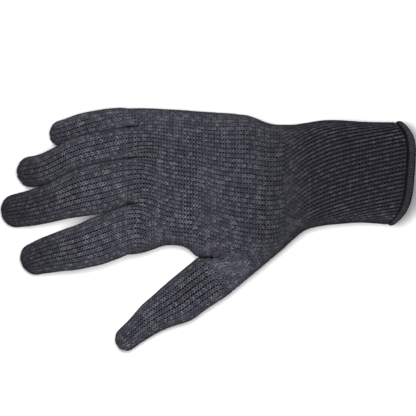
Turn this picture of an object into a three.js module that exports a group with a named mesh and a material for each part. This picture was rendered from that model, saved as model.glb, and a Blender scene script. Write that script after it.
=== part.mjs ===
// A knitted merino glove for the right hand, lying on its palm with the back of the hand up.
// Lengths are in millimetres. The fingers point along -X and the thumb towards -Y.
// "reach" is the distance from the wrist towards the fingertips, "across" runs towards the
// little finger, and heights are above the surface that the glove lies on.

import * as THREE from "three";
import { mergeVertices } from "three/addons/utils/BufferGeometryUtils.js";

// Hand
const PALM_LENGTH = 98; // wrist to the webs of the fingers
const PALM_WIDTH = 88;
const PALM_DEPTH = 36; // surface to the back of the hand
const THUMB_WEB_REACH = 54; // wrist to the web of the thumb
const WEB_VALLEY = 24; // how far the valleys between the knuckles run back from the webs
const THUMB_VALLEY = 30; // the same behind the web of the thumb
const MIDDLE_ROOT = -0.045 * PALM_WIDTH; // the middle finger's place across the hand
const ROOT_BLEND = 0.25; // share of the palm that leads over to the cuff, and to the fingers
const FAN = 0.8; // share of the palm over which the columns of stitches fan out

// Fingers: length from the web, width at the widest joint, depth from nail side to pad side
const LITTLE_LENGTH = 51.5;
const LITTLE_WIDTH = 16.5;
const LITTLE_DEPTH = 15.5;
const RING_LENGTH = 72.5;
const RING_WIDTH = 21;
const RING_DEPTH = 17.5;
const MIDDLE_LENGTH = 83.5;
const MIDDLE_WIDTH = 32;
const MIDDLE_DEPTH = 21;
const INDEX_LENGTH = 71;
const INDEX_WIDTH = 32;
const INDEX_DEPTH = 20.5;
const MIDDLE_ANGLE = 14.5; // degrees that the middle finger turns towards the thumb
const THUMB_LENGTH = 74;
const THUMB_WIDTH = 31;
const THUMB_DEPTH = 23;
const THUMB_ANGLE = 35.5;
const FINGER_CLEARANCE = 0.9; // air between two fingers that lie side by side
const MOST_RISE = 0.6; // how far a finger may ride over its neighbour, as a share of their depth

// Cuff and hem
const CUFF_LENGTH = 70;
const CUFF_WIDTH = 65.5;
const CUFF_DEPTH = 38;
const RIB_COUNT = 50;
const RIB_HEIGHT = 1;
const RIB_START = 0.15; // share of the cuff over which the ribs rise
const HEM_LENGTH = 5;
const HEM_THICKNESS = 3.4;
const HEM_BOW = 8.5; // how far the middle of the mouth stands out past its sides
const HEM_SKEW = 5; // how much further the little-finger side of the mouth reaches

// Knit
const WALL = 1.7;
const SEAM_GAP = 0.35;
const COLLAR = 4.5; // stub of each tube that belongs to the hand

// Facets
const FINGER_FACETS = 6; // across one face of a finger or the thumb
const TUBE_ROWS = 9;
const TIP_ROWS = 3;
const CUFF_ROWS = 8;
const HEM_FACETS = 64;

// How full the sections are: 1 is an ellipse, less is squarer
const FINGER_CURVE = 0.94;
const BACK_CURVE = 0.84;
const PALM_CURVE = 0.66;
const SIDE_LEVEL = 0.42; // height of the side edges as a share of the height above them

// Sections of the hand. along: share of the palm's length. little, index: side edges as shares
// of the palm's width from the wrist's middle. top, rest: shares of the palm's depth.
const HAND_SECTIONS = [
  { along: 0, little: 0.365, index: -0.36, top: 0.93, rest: -0.03 },
  { along: 0.14, little: 0.412, index: -0.46, top: 0.95, rest: -0.035 },
  { along: 0.3, little: 0.438, index: -0.56, top: 0.98, rest: -0.03 },
  { along: 0.55, little: 0.457, index: -0.588, top: 1.0, rest: -0.015 },
  { along: 0.61, little: 0.463, index: -0.535, top: 1.01, rest: 0.01 },
  { along: 0.66, little: 0.467, index: -0.51, top: 1.02, rest: 0.04 },
  { along: 0.76, little: 0.473, index: -0.508, top: 1.03, rest: 0.11 },
  { along: 0.87, little: 0.48, index: -0.532, top: 1.0, rest: 0.2 },
  { along: 1, little: 0.487, index: -0.57, top: 0.93, rest: 0.3 },
];

// Sections of a finger. along: share of its length. width, depth: shares of its own.
// lift: underside as a share of the palm's depth. spread: air beside its neighbour, or for the
// middle finger its sideways bend, as a share of its width.
const LITTLE_SECTIONS = [
  { along: 0, width: 0.72, depth: 1, lift: 0.2, spread: 0 },
  { along: 0.3, width: 0.86, depth: 1, lift: 0.2, spread: 0 },
  { along: 0.6, width: 1, depth: 0.97, lift: 0.12, spread: 0 },
  { along: 0.8, width: 0.98, depth: 0.92, lift: 0.02, spread: 0.12 },
  { along: 1, width: 0.8, depth: 0.8, lift: -0.02, spread: 0.42 },
];
const RING_SECTIONS = [
  { along: 0, width: 0.94, depth: 1, lift: 0.3, spread: 0 },
  { along: 0.35, width: 0.97, depth: 1, lift: 0.33, spread: 0 },
  { along: 0.6, width: 1, depth: 0.98, lift: 0.23, spread: 0 },
  { along: 0.8, width: 0.94, depth: 0.94, lift: 0.08, spread: 0.05 },
  { along: 0.92, width: 0.86, depth: 0.88, lift: 0, spread: 0.18 },
  { along: 1, width: 0.76, depth: 0.8, lift: -0.02, spread: 0.25 },
];
const MIDDLE_SECTIONS = [
  { along: 0, width: 0.91, depth: 1, lift: 0.36, spread: 0 },
  { along: 0.2, width: 1, depth: 1, lift: 0.39, spread: 0 },
  { along: 0.32, width: 0.98, depth: 0.98, lift: 0.38, spread: 0.02 },
  { along: 0.46, width: 0.9, depth: 0.93, lift: 0.33, spread: 0.02 },
  { along: 0.6, width: 0.79, depth: 0.87, lift: 0.24, spread: -0.02 },
  { along: 0.75, width: 0.71, depth: 0.81, lift: 0.12, spread: -0.03 },
  { along: 0.9, width: 0.64, depth: 0.76, lift: 0, spread: 0 },
  { along: 1, width: 0.6, depth: 0.72, lift: -0.02, spread: 0.02 },
];
const INDEX_SECTIONS = [
  { along: 0, width: 1, depth: 1, lift: 0.32, spread: 0 },
  { along: 0.14, width: 1, depth: 1, lift: 0.36, spread: 0 },
  { along: 0.3, width: 0.96, depth: 0.98, lift: 0.36, spread: 0.05 },
  { along: 0.48, width: 0.87, depth: 0.92, lift: 0.3, spread: 0.17 },
  { along: 0.66, width: 0.77, depth: 0.86, lift: 0.18, spread: 0.24 },
  { along: 0.85, width: 0.67, depth: 0.8, lift: 0.03, spread: 0.33 },
  { along: 1, width: 0.6, depth: 0.74, lift: -0.02, spread: 0.46 },
];
const THUMB_SECTIONS = [
  { along: 0, width: 1, depth: 1, lift: 0.06, spread: 0 },
  { along: 0.2, width: 0.95, depth: 0.98, lift: 0.03, spread: -0.005 },
  { along: 0.36, width: 0.92, depth: 0.94, lift: 0, spread: -0.02 },
  { along: 0.52, width: 0.76, depth: 0.88, lift: -0.01, spread: 0.015 },
  { along: 0.63, width: 0.67, depth: 0.84, lift: -0.02, spread: 0.033 },
  { along: 0.8, width: 0.54, depth: 0.76, lift: -0.02, spread: 0.003 },
  { along: 1, width: 0.47, depth: 0.68, lift: -0.02, spread: -0.03 },
];

// Sections of the cuff from the wrist to the mouth, shares of its length, width and depth.
const CUFF_SECTIONS = [
  { along: 0, little: 0.486, thumb: -0.715, top: 0.88, rest: -0.02 },
  { along: 0.09, little: 0.486, thumb: -0.625, top: 0.9, rest: -0.02 },
  { along: 0.2, little: 0.502, thumb: -0.535, top: 0.96, rest: -0.02 },
  { along: 0.35, little: 0.526, thumb: -0.494, top: 1, rest: -0.02 },
  { along: 0.5, little: 0.528, thumb: -0.476, top: 1, rest: -0.02 },
  { along: 0.75, little: 0.512, thumb: -0.462, top: 0.98, rest: -0.02 },
  { along: 1, little: 0.508, thumb: -0.478, top: 0.96, rest: -0.02 },
];

// Where the rows of the hand lie between two webs, closer together near the webs
const ROWS_TO_THUMB_WEB = [0, 0.16, 0.34, 0.52, 0.68, 0.82, 0.92, 1];
const ROWS_TO_FINGER_WEBS = [0.16, 0.34, 0.5, 0.64, 0.76, 0.86, 0.94, 1];

const FINE = 96; // steps of the curve that a section is measured along
const EDGE_PASSES = 4; // rounds in which the side edge of a turned section is found
const SLOPE_RUN = 8; // length that the slope of a finger is measured over

const clamp = THREE.MathUtils.clamp;
const lerp = THREE.MathUtils.lerp;
const ease = (share) => THREE.MathUtils.smoothstep(share, 0, 1);
const mix = (a, b, share) => a.map((value, i) => lerp(value, b[i], share));

// A smooth curve through one column of a table of sections.
function column(sections, name) {
  const at = sections.map((row) => row.along);
  const value = sections.map((row) => row[name]);
  const slope = value.map((_, i) => {
    const before = Math.max(i - 1, 0);
    const after = Math.min(i + 1, value.length - 1);
    return (value[after] - value[before]) / (at[after] - at[before]);
  });
  return (share) => {
    const t = clamp(share, 0, 1);
    const i = Math.max(at.findIndex((end) => end >= t) - 1, 0);
    const span = at[i + 1] - at[i];
    const u = (t - at[i]) / span;
    const rise = value[i + 1] - value[i];
    const bend = span * (slope[i] * (1 - u) - slope[i + 1] * u) + rise * (2 * u - 1);
    return value[i] + rise * u + u * (1 - u) * bend;
  };
}

// Half a section: an arch from one side edge to the other, up to or down to a height,
// pressed flat where it would pass below the surface. Points are [reach, across, height].
function arch(from, to, height, curve) {
  const middle = (from[2] + to[2]) / 2;
  const points = [];
  for (let i = 0; i <= FINE; i++) {
    const turn = (Math.PI * i) / FINE;
    const cos = Math.cos(turn);
    const share = (1 - Math.sign(cos) * Math.abs(cos) ** curve) / 2;
    const point = mix(from, to, share);
    point[2] = Math.max(0, point[2] + (height - middle) * Math.max(0, Math.sin(turn)) ** curve);
    points.push(point);
  }
  return points;
}

// Points of a curve at shares of its length.
function alongCurve(points, shares) {
  const travelled = [0];
  for (let i = 1; i < points.length; i++) {
    const step = Math.hypot(...points[i].map((value, k) => value - points[i - 1][k]));
    travelled.push(travelled[i - 1] + step);
  }
  const total = travelled.at(-1);
  return shares.map((share) => {
    const target = share * total;
    const i = clamp(travelled.findIndex((length) => length >= target) - 1, 0, points.length - 2);
    const span = travelled[i + 1] - travelled[i] || 1;
    return mix(points[i], points[i + 1], clamp((target - travelled[i]) / span, 0, 1));
  });
}

const evenShares = (count) => Array.from({ length: count + 1 }, (_, i) => i / count);

// How far a web has opened into a valley: 1 at the web, 0 where the valley ends.
function webShare(distance, valley) {
  const share = clamp(1 - distance / valley, 0, 1);
  return 1 - Math.sqrt(1 - share ** 2);
}

// One finger. Its neighbour, if it has one, holds it in place: it lies beside the neighbour's
// side edge, and slides a little over or under it where one lies higher.
class Finger {
  constructor({ name, length, width, depth, sections, neighbour = null, side = 0 }) {
    Object.assign(this, { name, length, width, depth, neighbour, side });
    this.widthShare = column(sections, "width");
    this.depthShare = column(sections, "depth");
    this.liftShare = column(sections, "lift");
    this.spreadShare = column(sections, "spread");
    this.run = length * Math.cos(THREE.MathUtils.degToRad(MIDDLE_ANGLE));
  }

  share(reach) {
    return (reach - PALM_LENGTH) / this.run;
  }

  half(reach) {
    return (this.width * this.widthShare(this.share(reach))) / 2;
  }

  underside(reach) {
    return PALM_DEPTH * this.liftShare(this.share(reach));
  }

  top(reach) {
    return this.underside(reach) + this.depth * this.depthShare(this.share(reach));
  }

  level(reach) {
    return (this.top(reach) + this.underside(reach)) / 2;
  }

  centre(reach) {
    const spread = this.width * this.spreadShare(this.share(reach));
    if (!this.neighbour) {
      const turn = Math.tan(THREE.MathUtils.degToRad(MIDDLE_ANGLE));
      return MIDDLE_ROOT - turn * (reach - PALM_LENGTH) + spread;
    }
    const beside = this.neighbour;
    const widths = this.half(reach) + beside.half(reach);
    const depths = (this.depth + beside.depth) / 2;
    const rise = (this.level(reach) - beside.level(reach)) / depths;
    const lean = 1 - Math.sqrt(1 - clamp(rise, -MOST_RISE, MOST_RISE) ** 2);
    const tuck = widths * lean * ease((reach - PALM_LENGTH) / WEB_VALLEY);
    return beside.centre(reach) + this.side * (widths - tuck + spread);
  }

  // The side edge towards the little finger (+1) or the thumb (-1), drawn in for the air
  // between neighbours.
  edge(reach, side) {
    const air = (FINGER_CLEARANCE / 2) * ease((reach - PALM_LENGTH) / COLLAR);
    return this.centre(reach) + side * (this.half(reach) - air);
  }
}

const middle = new Finger({
  name: "middle_finger",
  length: MIDDLE_LENGTH,
  width: MIDDLE_WIDTH,
  depth: MIDDLE_DEPTH,
  sections: MIDDLE_SECTIONS,
});
const ring = new Finger({
  name: "ring_finger",
  length: RING_LENGTH,
  width: RING_WIDTH,
  depth: RING_DEPTH,
  sections: RING_SECTIONS,
  neighbour: middle,
  side: 1,
});
const little = new Finger({
  name: "little_finger",
  length: LITTLE_LENGTH,
  width: LITTLE_WIDTH,
  depth: LITTLE_DEPTH,
  sections: LITTLE_SECTIONS,
  neighbour: ring,
  side: 1,
});
const index = new Finger({
  name: "index_finger",
  length: INDEX_LENGTH,
  width: INDEX_WIDTH,
  depth: INDEX_DEPTH,
  sections: INDEX_SECTIONS,
  neighbour: middle,
  side: -1,
});
const fingers = [little, ring, middle, index];

// The five side edges of the finger roots, from the little finger's outer side to the index
// finger's, as [across, height]. A web lies midway in height between its two fingers.
const rootEdges = [
  [little.edge(PALM_LENGTH, 1), little.level(PALM_LENGTH)],
  ...fingers.slice(1).map((finger, i) => [
    finger.edge(PALM_LENGTH, 1),
    (finger.level(PALM_LENGTH) + fingers[i].level(PALM_LENGTH)) / 2,
  ]),
  [index.edge(PALM_LENGTH, -1), index.level(PALM_LENGTH)],
];

// Section of a finger at a distance past its root: its two side edges, top and underside.
// The section turns from straight across the hand to square across the finger.
function fingerSection(finger, distance) {
  const i = fingers.indexOf(finger);
  const reach = PALM_LENGTH + distance;
  const centre = finger.centre(reach);
  const slope = (finger.centre(reach + SLOPE_RUN) - finger.centre(reach - SLOPE_RUN)) / (2 * SLOPE_RUN);
  const turned = ease(distance / finger.width);
  const angle = -Math.atan(slope) * turned;
  const settled = ease(distance / WEB_VALLEY);
  const ends = [1, -1].map((side, end) => {
    let half = finger.half(reach);
    for (let pass = 0; pass < EDGE_PASSES; pass++) {
      const edge = finger.edge(reach + side * half * Math.sin(angle), side);
      half = (side * (edge - centre)) / Math.cos(angle);
    }
    const height = lerp(rootEdges[i + end][1], finger.level(reach), settled);
    return [reach + side * half * Math.sin(angle), centre + side * half * Math.cos(angle), height];
  });
  return { ends, top: finger.top(reach), underside: finger.underside(reach) };
}

const thumbTurn = THREE.MathUtils.degToRad(THUMB_ANGLE);
const thumbWay = [Math.cos(thumbTurn), -Math.sin(thumbTurn), 0];
const thumbSide = [Math.sin(thumbTurn), Math.cos(thumbTurn), 0];
const thumbColumn = Object.fromEntries(
  ["width", "depth", "lift", "spread"].map((name) => [name, column(THUMB_SECTIONS, name)]),
);
const thumbWebShare = THUMB_WEB_REACH / PALM_LENGTH;
const handColumn = Object.fromEntries(
  ["little", "index", "top", "rest"].map((name) => [name, column(HAND_SECTIONS, name)]),
);
const cuffColumn = Object.fromEntries(
  ["little", "thumb", "top", "rest"].map((name) => [name, column(CUFF_SECTIONS, name)]),
);
const thumbWebAcross = PALM_WIDTH * handColumn.index(thumbWebShare);

// Section of the thumb at a distance along it, square across it all the way.
function thumbSection(distance) {
  const share = distance / THUMB_LENGTH;
  const half = (THUMB_WIDTH * thumbColumn.width(share)) / 2;
  const underside = PALM_DEPTH * thumbColumn.lift(share);
  const top = underside + THUMB_DEPTH * thumbColumn.depth(share);
  const bend = THUMB_WIDTH * (thumbColumn.spread(share) - thumbColumn.width(0) / 2);
  const centre = [0, 1, 2].map(
    (k) =>
      [THUMB_WEB_REACH, thumbWebAcross, (top + underside) / 2][k] +
      thumbWay[k] * distance +
      thumbSide[k] * bend,
  );
  const ends = [1, -1].map((side) => centre.map((value, k) => value + side * half * thumbSide[k]));
  return { ends, top, underside };
}

const tubeFace = (section, face, shares) =>
  alongCurve(
    arch(section.ends[0], section.ends[1], face > 0 ? section.top : section.underside, FINGER_CURVE),
    shares,
  );

// The cuff's section at a share of its length, before its mouth is bowed.
function cuffSection(share) {
  const top = CUFF_DEPTH * cuffColumn.top(share);
  return {
    little: CUFF_WIDTH * cuffColumn.little(share),
    thumb: CUFF_WIDTH * cuffColumn.thumb(share),
    top,
    rest: CUFF_DEPTH * cuffColumn.rest(share),
    level: SIDE_LEVEL * top,
  };
}

// The hand's section at a share of the palm's length: it grows out of the cuff's section and
// ends at the outer sides of the finger roots.
function handSection(share) {
  const wrist = cuffSection(0);
  const grown = ease(share / ROOT_BLEND);
  const closing = ease((share + ROOT_BLEND - 1) / ROOT_BLEND);
  const top = lerp(wrist.top, PALM_DEPTH * handColumn.top(share), grown);
  const level = SIDE_LEVEL * top;
  return {
    little: lerp(
      lerp(wrist.little, PALM_WIDTH * handColumn.little(share), grown),
      rootEdges[0][0],
      closing,
    ),
    index: lerp(PALM_WIDTH * handColumn.index(share), rootEdges.at(-1)[0], closing),
    top,
    rest: lerp(wrist.rest, PALM_DEPTH * handColumn.rest(share), grown),
    littleLevel: lerp(level, rootEdges[0][1], closing),
    indexLevel: lerp(level, rootEdges.at(-1)[1], closing),
    level,
  };
}

// The share of a curve's length at which it passes a place across the hand.
function shareAcross(points, across) {
  const shares = evenShares(FINE);
  const measured = alongCurve(points, shares);
  return shares[measured.findIndex((point) => point[1] <= across)];
}

// Where the columns of stitches of the four fingers lie round one face of the hand. They are
// spread evenly at the wrist and meet the finger roots at the webs.
function columnShares(face) {
  const points = handArch(handSection(1), PALM_LENGTH, face);
  const webs = rootEdges.slice(1, -1).map(([across]) => shareAcross(points, across));
  const atWebs = [0, ...webs, 1];
  return (share) => {
    const even = ease((1 - share) / FAN);
    const ends = atWebs.map((web, i) => lerp(web, i / fingers.length, even));
    const inFinger = evenShares(FINGER_FACETS).slice(0, -1);
    const shares = fingers.flatMap((_, i) => inFinger.map((u) => lerp(ends[i], ends[i + 1], u)));
    return [...shares, 1];
  };
}

function handArch(section, reach, face) {
  return arch(
    [reach, section.little, section.littleLevel],
    [reach, section.index, section.indexLevel],
    face > 0 ? section.top : section.rest,
    face > 0 ? BACK_CURVE : PALM_CURVE,
  );
}

const columnsOf = { 1: columnShares(1), [-1]: columnShares(-1) };
const thumbRoot = thumbSection(0);

// One face of one row of the hand, from the little finger's side to the thumb's.
function handRow(share, face) {
  const reach = share * PALM_LENGTH;
  const section = handSection(share);
  const open = webShare(PALM_LENGTH - reach, WEB_VALLEY);
  const overFingers = alongCurve(handArch(section, reach, face), columnsOf[face](share));
  const four = overFingers.map((point, j) => {
    const i = Math.min(Math.floor(j / FINGER_FACETS), fingers.length - 1);
    const edges = [rootEdges[i], rootEdges[i + 1]].map(([across, height]) => [reach, across, height]);
    if (i === 0) edges[0] = [reach, section.little, section.littleLevel];
    if (i === fingers.length - 1) edges[1] = [reach, section.index, section.indexLevel];
    const root = { ends: edges, top: fingers[i].top(reach), underside: fingers[i].underside(reach) };
    const u = j / FINGER_FACETS - i;
    return mix(point, tubeFace(root, face, [u])[0], open);
  });
  if (share > thumbWebShare) return four;

  // Behind its web the thumb's root runs back to the wrist along the thumb side of the hand.
  const back = share / thumbWebShare;
  const wrist = cuffSection(0);
  const outer = mix([0, wrist.thumb, wrist.level], thumbRoot.ends[1], back);
  const web = [reach, section.index, lerp(section.level, thumbRoot.ends[0][2], back)];
  const apart = webShare(THUMB_WEB_REACH - reach, THUMB_VALLEY);
  const thumbTop = lerp(section.top, thumbRoot.top, ease(back));
  const thumbRest = lerp(section.rest, thumbRoot.underside, ease(back));
  const root = { ends: [web, outer], top: thumbTop, underside: thumbRest };
  const thumbPart = tubeFace(root, face, evenShares(FINGER_FACETS)).slice(1);
  const handPart = alongCurve(
    arch(
      [reach, section.little, section.littleLevel],
      web,
      face > 0 ? section.top : section.rest,
      face > 0 ? BACK_CURVE : PALM_CURVE,
    ),
    columnsOf[face](share),
  );
  const separate = [...handPart, ...thumbPart];

  const whole = arch(
    [reach, section.little, section.littleLevel],
    [reach, outer[1], outer[2]],
    face > 0 ? (section.top + wrist.top) / 2 : section.rest,
    face > 0 ? BACK_CURVE : PALM_CURVE,
  );
  for (const point of whole) {
    const past = clamp((section.index - point[1]) / (section.index - outer[1]), 0, 1);
    point[0] += (outer[0] - reach) * ease(past);
  }
  const evenShare = fingers.length / (fingers.length + 1);
  const handShare = lerp(evenShare, shareAcross(whole, section.index), ease(back));
  const shares = [
    ...columnsOf[face](share).map((value) => value * handShare),
    ...evenShares(FINGER_FACETS)
      .slice(1)
      .map((value) => lerp(handShare, 1, value)),
  ];
  return alongCurve(whole, shares).map((point, i) => mix(point, separate[i], apart));
}

// Geometry from rows of points: neighbouring rows are joined by two triangles a facet.
class Sheet {
  constructor() {
    this.corners = [];
  }

  triangle(a, b, c) {
    for (const [reach, across, height] of [a, b, c]) this.corners.push(-reach, across, height);
  }

  // Rows run from the little finger's side to the thumb's, and follow each other towards the
  // fingertips on the upper face (+1), seen from outside.
  face(rows, side) {
    for (let r = 0; r + 1 < rows.length; r++) {
      for (let j = 0; j + 1 < rows[r].length; j++) {
        const [a, b] = [rows[r][j], rows[r][j + 1]];
        const [d, c] = [rows[r + 1][j], rows[r + 1][j + 1]];
        if (side > 0) {
          this.triangle(a, d, c);
          this.triangle(a, c, b);
        } else {
          this.triangle(a, c, d);
          this.triangle(a, b, c);
        }
      }
    }
  }

  // The welded sheet, without the triangles that have shrunk to a line.
  geometry() {
    const loose = new THREE.BufferGeometry();
    loose.setAttribute("position", new THREE.Float32BufferAttribute(this.corners, 3));
    const welded = mergeVertices(loose, 0.01);
    const kept = [];
    const order = welded.index.array;
    for (let i = 0; i < order.length; i += 3) {
      const [a, b, c] = order.subarray(i, i + 3);
      if (a !== b && b !== c && c !== a) kept.push(a, b, c);
    }
    welded.setIndex(kept);
    return welded;
  }
}

// The open edges of a welded sheet, from each corner to the next.
function openEdges(order) {
  const edges = new Map();
  for (let i = 0; i < order.length; i++) {
    const to = i % 3 === 2 ? order[i - 2] : order[i + 1];
    edges.set(`${order[i]} ${to}`, [order[i], to]);
  }
  return new Map([...edges.values()].filter(([from, to]) => !edges.has(`${to} ${from}`)));
}

// Turns the normals round each open edge into the plane of that edge, so that its rim is flat.
function squareRims(position, normal, next) {
  const left = new Set(next.keys());
  const corner = (i) => new THREE.Vector3().fromBufferAttribute(position, i);
  for (const start of next.keys()) {
    if (!left.has(start)) continue;
    const loop = [];
    for (let i = start; left.delete(i); i = next.get(i)) loop.push(i);
    const plane = new THREE.Vector3();
    const first = corner(start);
    loop.forEach((i, k) => {
      const after = corner(loop[(k + 1) % loop.length]).sub(first);
      plane.add(corner(i).sub(first).cross(after));
    });
    plane.normalize();
    for (const i of loop) {
      const turned = new THREE.Vector3().fromBufferAttribute(normal, i).projectOnPlane(plane);
      normal.setXYZ(i, ...turned.normalize().toArray());
    }
  }
}

// Gives a sheet the thickness of the knit: an inner copy a wall inwards, and a rim round each
// open edge.
function thicken(sheet) {
  const outer = sheet.geometry();
  outer.computeVertexNormals();
  const position = outer.attributes.position;
  const normal = outer.attributes.normal;
  const count = position.count;
  const next = openEdges(outer.index.array);
  squareRims(position, normal, next);
  const points = new Float32Array(count * 6);
  points.set(position.array);
  for (let i = 0; i < count * 3; i++) {
    points[count * 3 + i] = position.array[i] - WALL * normal.array[i];
  }
  const faces = [];
  const order = outer.index.array;
  for (let i = 0; i < order.length; i += 3) {
    const corners = [order[i], order[i + 1], order[i + 2]];
    faces.push(...corners, ...corners.map((corner) => corner + count).reverse());
  }
  for (const [from, to] of next) faces.push(to, from, from + count, to, from + count, to + count);
  const solid = new THREE.BufferGeometry();
  solid.setAttribute("position", new THREE.BufferAttribute(points, 3));
  solid.setIndex(faces);
  return solid;
}

// Rows of a tube from one distance to another, then the rounded tip down to its pole.
function tubeRows(sectionAt, from, to) {
  const shares = evenShares(FINGER_FACETS);
  const steps = evenShares(TUBE_ROWS).map((step) => lerp(from, to, step));
  const rows = steps.map((distance) => sectionAt(distance));
  const last = rows.at(-1);
  const before = sectionAt(to - SLOPE_RUN);
  const middleOf = (section) => mix(section.ends[0], section.ends[1], 0.5);
  const centre = middleOf(last);
  const way = centre.map((value, k) => value - middleOf(before)[k]);
  const length = Math.hypot(...way);
  const half = Math.hypot(...last.ends[0].map((value, k) => value - centre[k]));
  for (let i = 1; i <= TIP_ROWS; i++) {
    const turn = (Math.PI / 2) * (i / TIP_ROWS);
    const grown = way.map((value) => (value / length) * half * Math.sin(turn));
    const middlePoint = centre.map((value, k) => value + grown[k]);
    const shrink = i === TIP_ROWS ? 0 : Math.cos(turn);
    middlePoint[2] = Math.max(middlePoint[2], ((last.top - last.underside) * shrink) / 2);
    rows.push({
      ends: last.ends.map((end) => end.map((value, k) => middlePoint[k] + (value - centre[k]) * shrink)),
      top: middlePoint[2] + (last.top - centre[2]) * shrink,
      underside: middlePoint[2] - (centre[2] - last.underside) * shrink,
    });
  }
  return [1, -1].map((face) => rows.map((section) => tubeFace(section, face, shares)));
}

function tubeMesh(sectionAt, length) {
  const sheet = new Sheet();
  const tipHalf = sectionAt(length);
  const half = Math.hypot(...tipHalf.ends[0].map((value, k) => value - tipHalf.ends[1][k])) / 2;
  const [upper, lower] = tubeRows(sectionAt, COLLAR + SEAM_GAP, length - half);
  sheet.face(upper, 1);
  sheet.face(lower, -1);
  return thicken(sheet);
}

function handMesh() {
  const sheet = new Sheet();
  const before = ROWS_TO_THUMB_WEB.map((share) => share * thumbWebShare);
  const after = [thumbWebShare, ...ROWS_TO_FINGER_WEBS.map((share) => lerp(thumbWebShare, 1, share))];
  for (const face of [1, -1]) {
    sheet.face(
      before.map((share) => handRow(share, face)),
      face,
    );
    sheet.face(
      after.map((share) => handRow(share, face).slice(0, fingers.length * FINGER_FACETS + 1)),
      face,
    );
    const shares = evenShares(FINGER_FACETS);
    const stubs = [...fingers.map((finger) => (d) => fingerSection(finger, d)), thumbSection];
    for (const sectionAt of stubs) {
      sheet.face(
        [0, COLLAR / 2, COLLAR].map((distance) => tubeFace(sectionAt(distance), face, shares)),
        face,
      );
    }
  }
  return thicken(sheet);
}

// A ring of the cuff at a share of its length: both faces of its section, round from the
// little finger's side, with the bow of the mouth fading out towards the wrist.
function cuffRing(share, count) {
  const section = cuffSection(share);
  const reach = -share * CUFF_LENGTH;
  const ends = [
    [reach, section.little, section.level],
    [reach, section.thumb, section.level],
  ];
  const half = evenShares(count / 2).slice(0, -1);
  const upper = alongCurve(arch(...ends, section.top, BACK_CURVE), half);
  const lower = alongCurve(arch(ends[1], ends[0], section.rest, PALM_CURVE), half);
  return [...upper, ...lower].map(([x, across, height]) => {
    const place = (section.little - across) / (section.little - section.thumb);
    const bowed = HEM_BOW * (1 - (2 * place - 1) ** 4) - HEM_SKEW * place;
    return [x - bowed * share ** 2, across, height];
  });
}

// Outward directions of a ring, square to it in its own plane.
function ringNormals(ring) {
  return ring.map((_, i) => {
    const before = ring.at(i - 1);
    const after = ring[(i + 1) % ring.length];
    const [run, rise] = [after[1] - before[1], after[2] - before[2]];
    const length = Math.hypot(run, rise);
    return [0, rise / length, -run / length];
  });
}

const pushed = (ring, normals, distanceAt) =>
  ring.map((point, i) => point.map((value, k) => value + normals[i][k] * distanceAt(i)));

// A closed tube from a loop of rings, each a closed ring of as many points.
function loopMesh(rings) {
  const sheet = new Sheet();
  for (const [r, ring] of rings.entries()) {
    const next = rings[(r + 1) % rings.length];
    for (const [i, a] of ring.entries()) {
      const j = (i + 1) % ring.length;
      sheet.triangle(a, next[j], next[i]);
      sheet.triangle(a, ring[j], next[j]);
    }
  }
  return sheet.geometry();
}

// Keeps a pushed ring on or above the surface that the glove lies on.
const settle = (ring) => ring.map(([x, across, height]) => [x, across, Math.max(0, height)]);

function cuffMesh() {
  const count = 2 * RIB_COUNT;
  const first = SEAM_GAP / CUFF_LENGTH;
  const outside = [];
  const inside = [];
  for (const step of evenShares(CUFF_ROWS)) {
    const share = lerp(first, 1, step);
    const ring = cuffRing(share, count);
    const normals = ringNormals(ring);
    const ribbed = RIB_HEIGHT * ease(share / RIB_START);
    outside.push(settle(pushed(ring, normals, (i) => (i % 2 ? -ribbed : 0))));
    inside.push(pushed(ring, normals, () => -WALL - ribbed / 2));
  }
  return loopMesh([...outside, ...inside.reverse()]);
}

// The hem is a roll round the mouth: its outline is a ring of points round the knit's edge.
function hemMesh() {
  const start = cuffRing(1, HEM_FACETS).map(([x, ...rest]) => [x - SEAM_GAP, ...rest]);
  const normals = ringNormals(start);
  const proud = (HEM_THICKNESS - WALL) / 2;
  const roll = [
    { out: 0, along: 0 },
    { out: proud, along: 0.25 },
    { out: proud, along: 0.75 },
    { out: -WALL / 2, along: 1 },
    { out: -WALL - proud, along: 0.7 },
    { out: -WALL - proud / 2, along: 0 },
  ];
  const rings = roll.map(({ out, along }) =>
    settle(
      pushed(start, normals, () => out).map(([x, ...rest]) => [x - along * HEM_LENGTH, ...rest]),
    ),
  );
  return loopMesh(rings);
}

const wool = new THREE.MeshStandardMaterial({ color: 0x3b3c44, roughness: 0.92, metalness: 0 });
const ribbedWool = new THREE.MeshStandardMaterial({ color: 0x33353d, roughness: 0.92, metalness: 0 });

function piece(name, geometry, material) {
  const mesh = new THREE.Mesh(geometry, material);
  mesh.name = name;
  return mesh;
}

const glove = new THREE.Group();
for (const finger of fingers) {
  const sectionAt = (distance) => fingerSection(finger, distance);
  glove.add(piece(finger.name, tubeMesh(sectionAt, finger.run), wool));
}
glove.add(piece("thumb", tubeMesh(thumbSection, THUMB_LENGTH), wool));
glove.add(piece("hand_body", handMesh(), wool));
glove.add(piece("rib_cuff", cuffMesh(), ribbedWool));
glove.add(piece("cuff_hem", hemMesh(), ribbedWool));

// The origin is the middle of the surface under the glove.
const bounds = new THREE.Box3().setFromObject(glove);
const middlePoint = bounds.getCenter(new THREE.Vector3());
glove.position.set(-middlePoint.x, -middlePoint.y, -bounds.min.z);

export default glove;
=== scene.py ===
"""Looks of a knitted merino glove for the right hand, lying on its palm with its back up.

Lengths are millimetres until a mesh is made. A place on the glove is (reach, across, height):
reach runs from the wrist towards the fingertips, across towards the little finger, and height
is above the surface that the glove lies on.
"""

from __future__ import annotations

import logging
import math
from dataclasses import dataclass, field
from enum import Enum
from functools import partial
from typing import Callable, NamedTuple, Sequence

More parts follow.
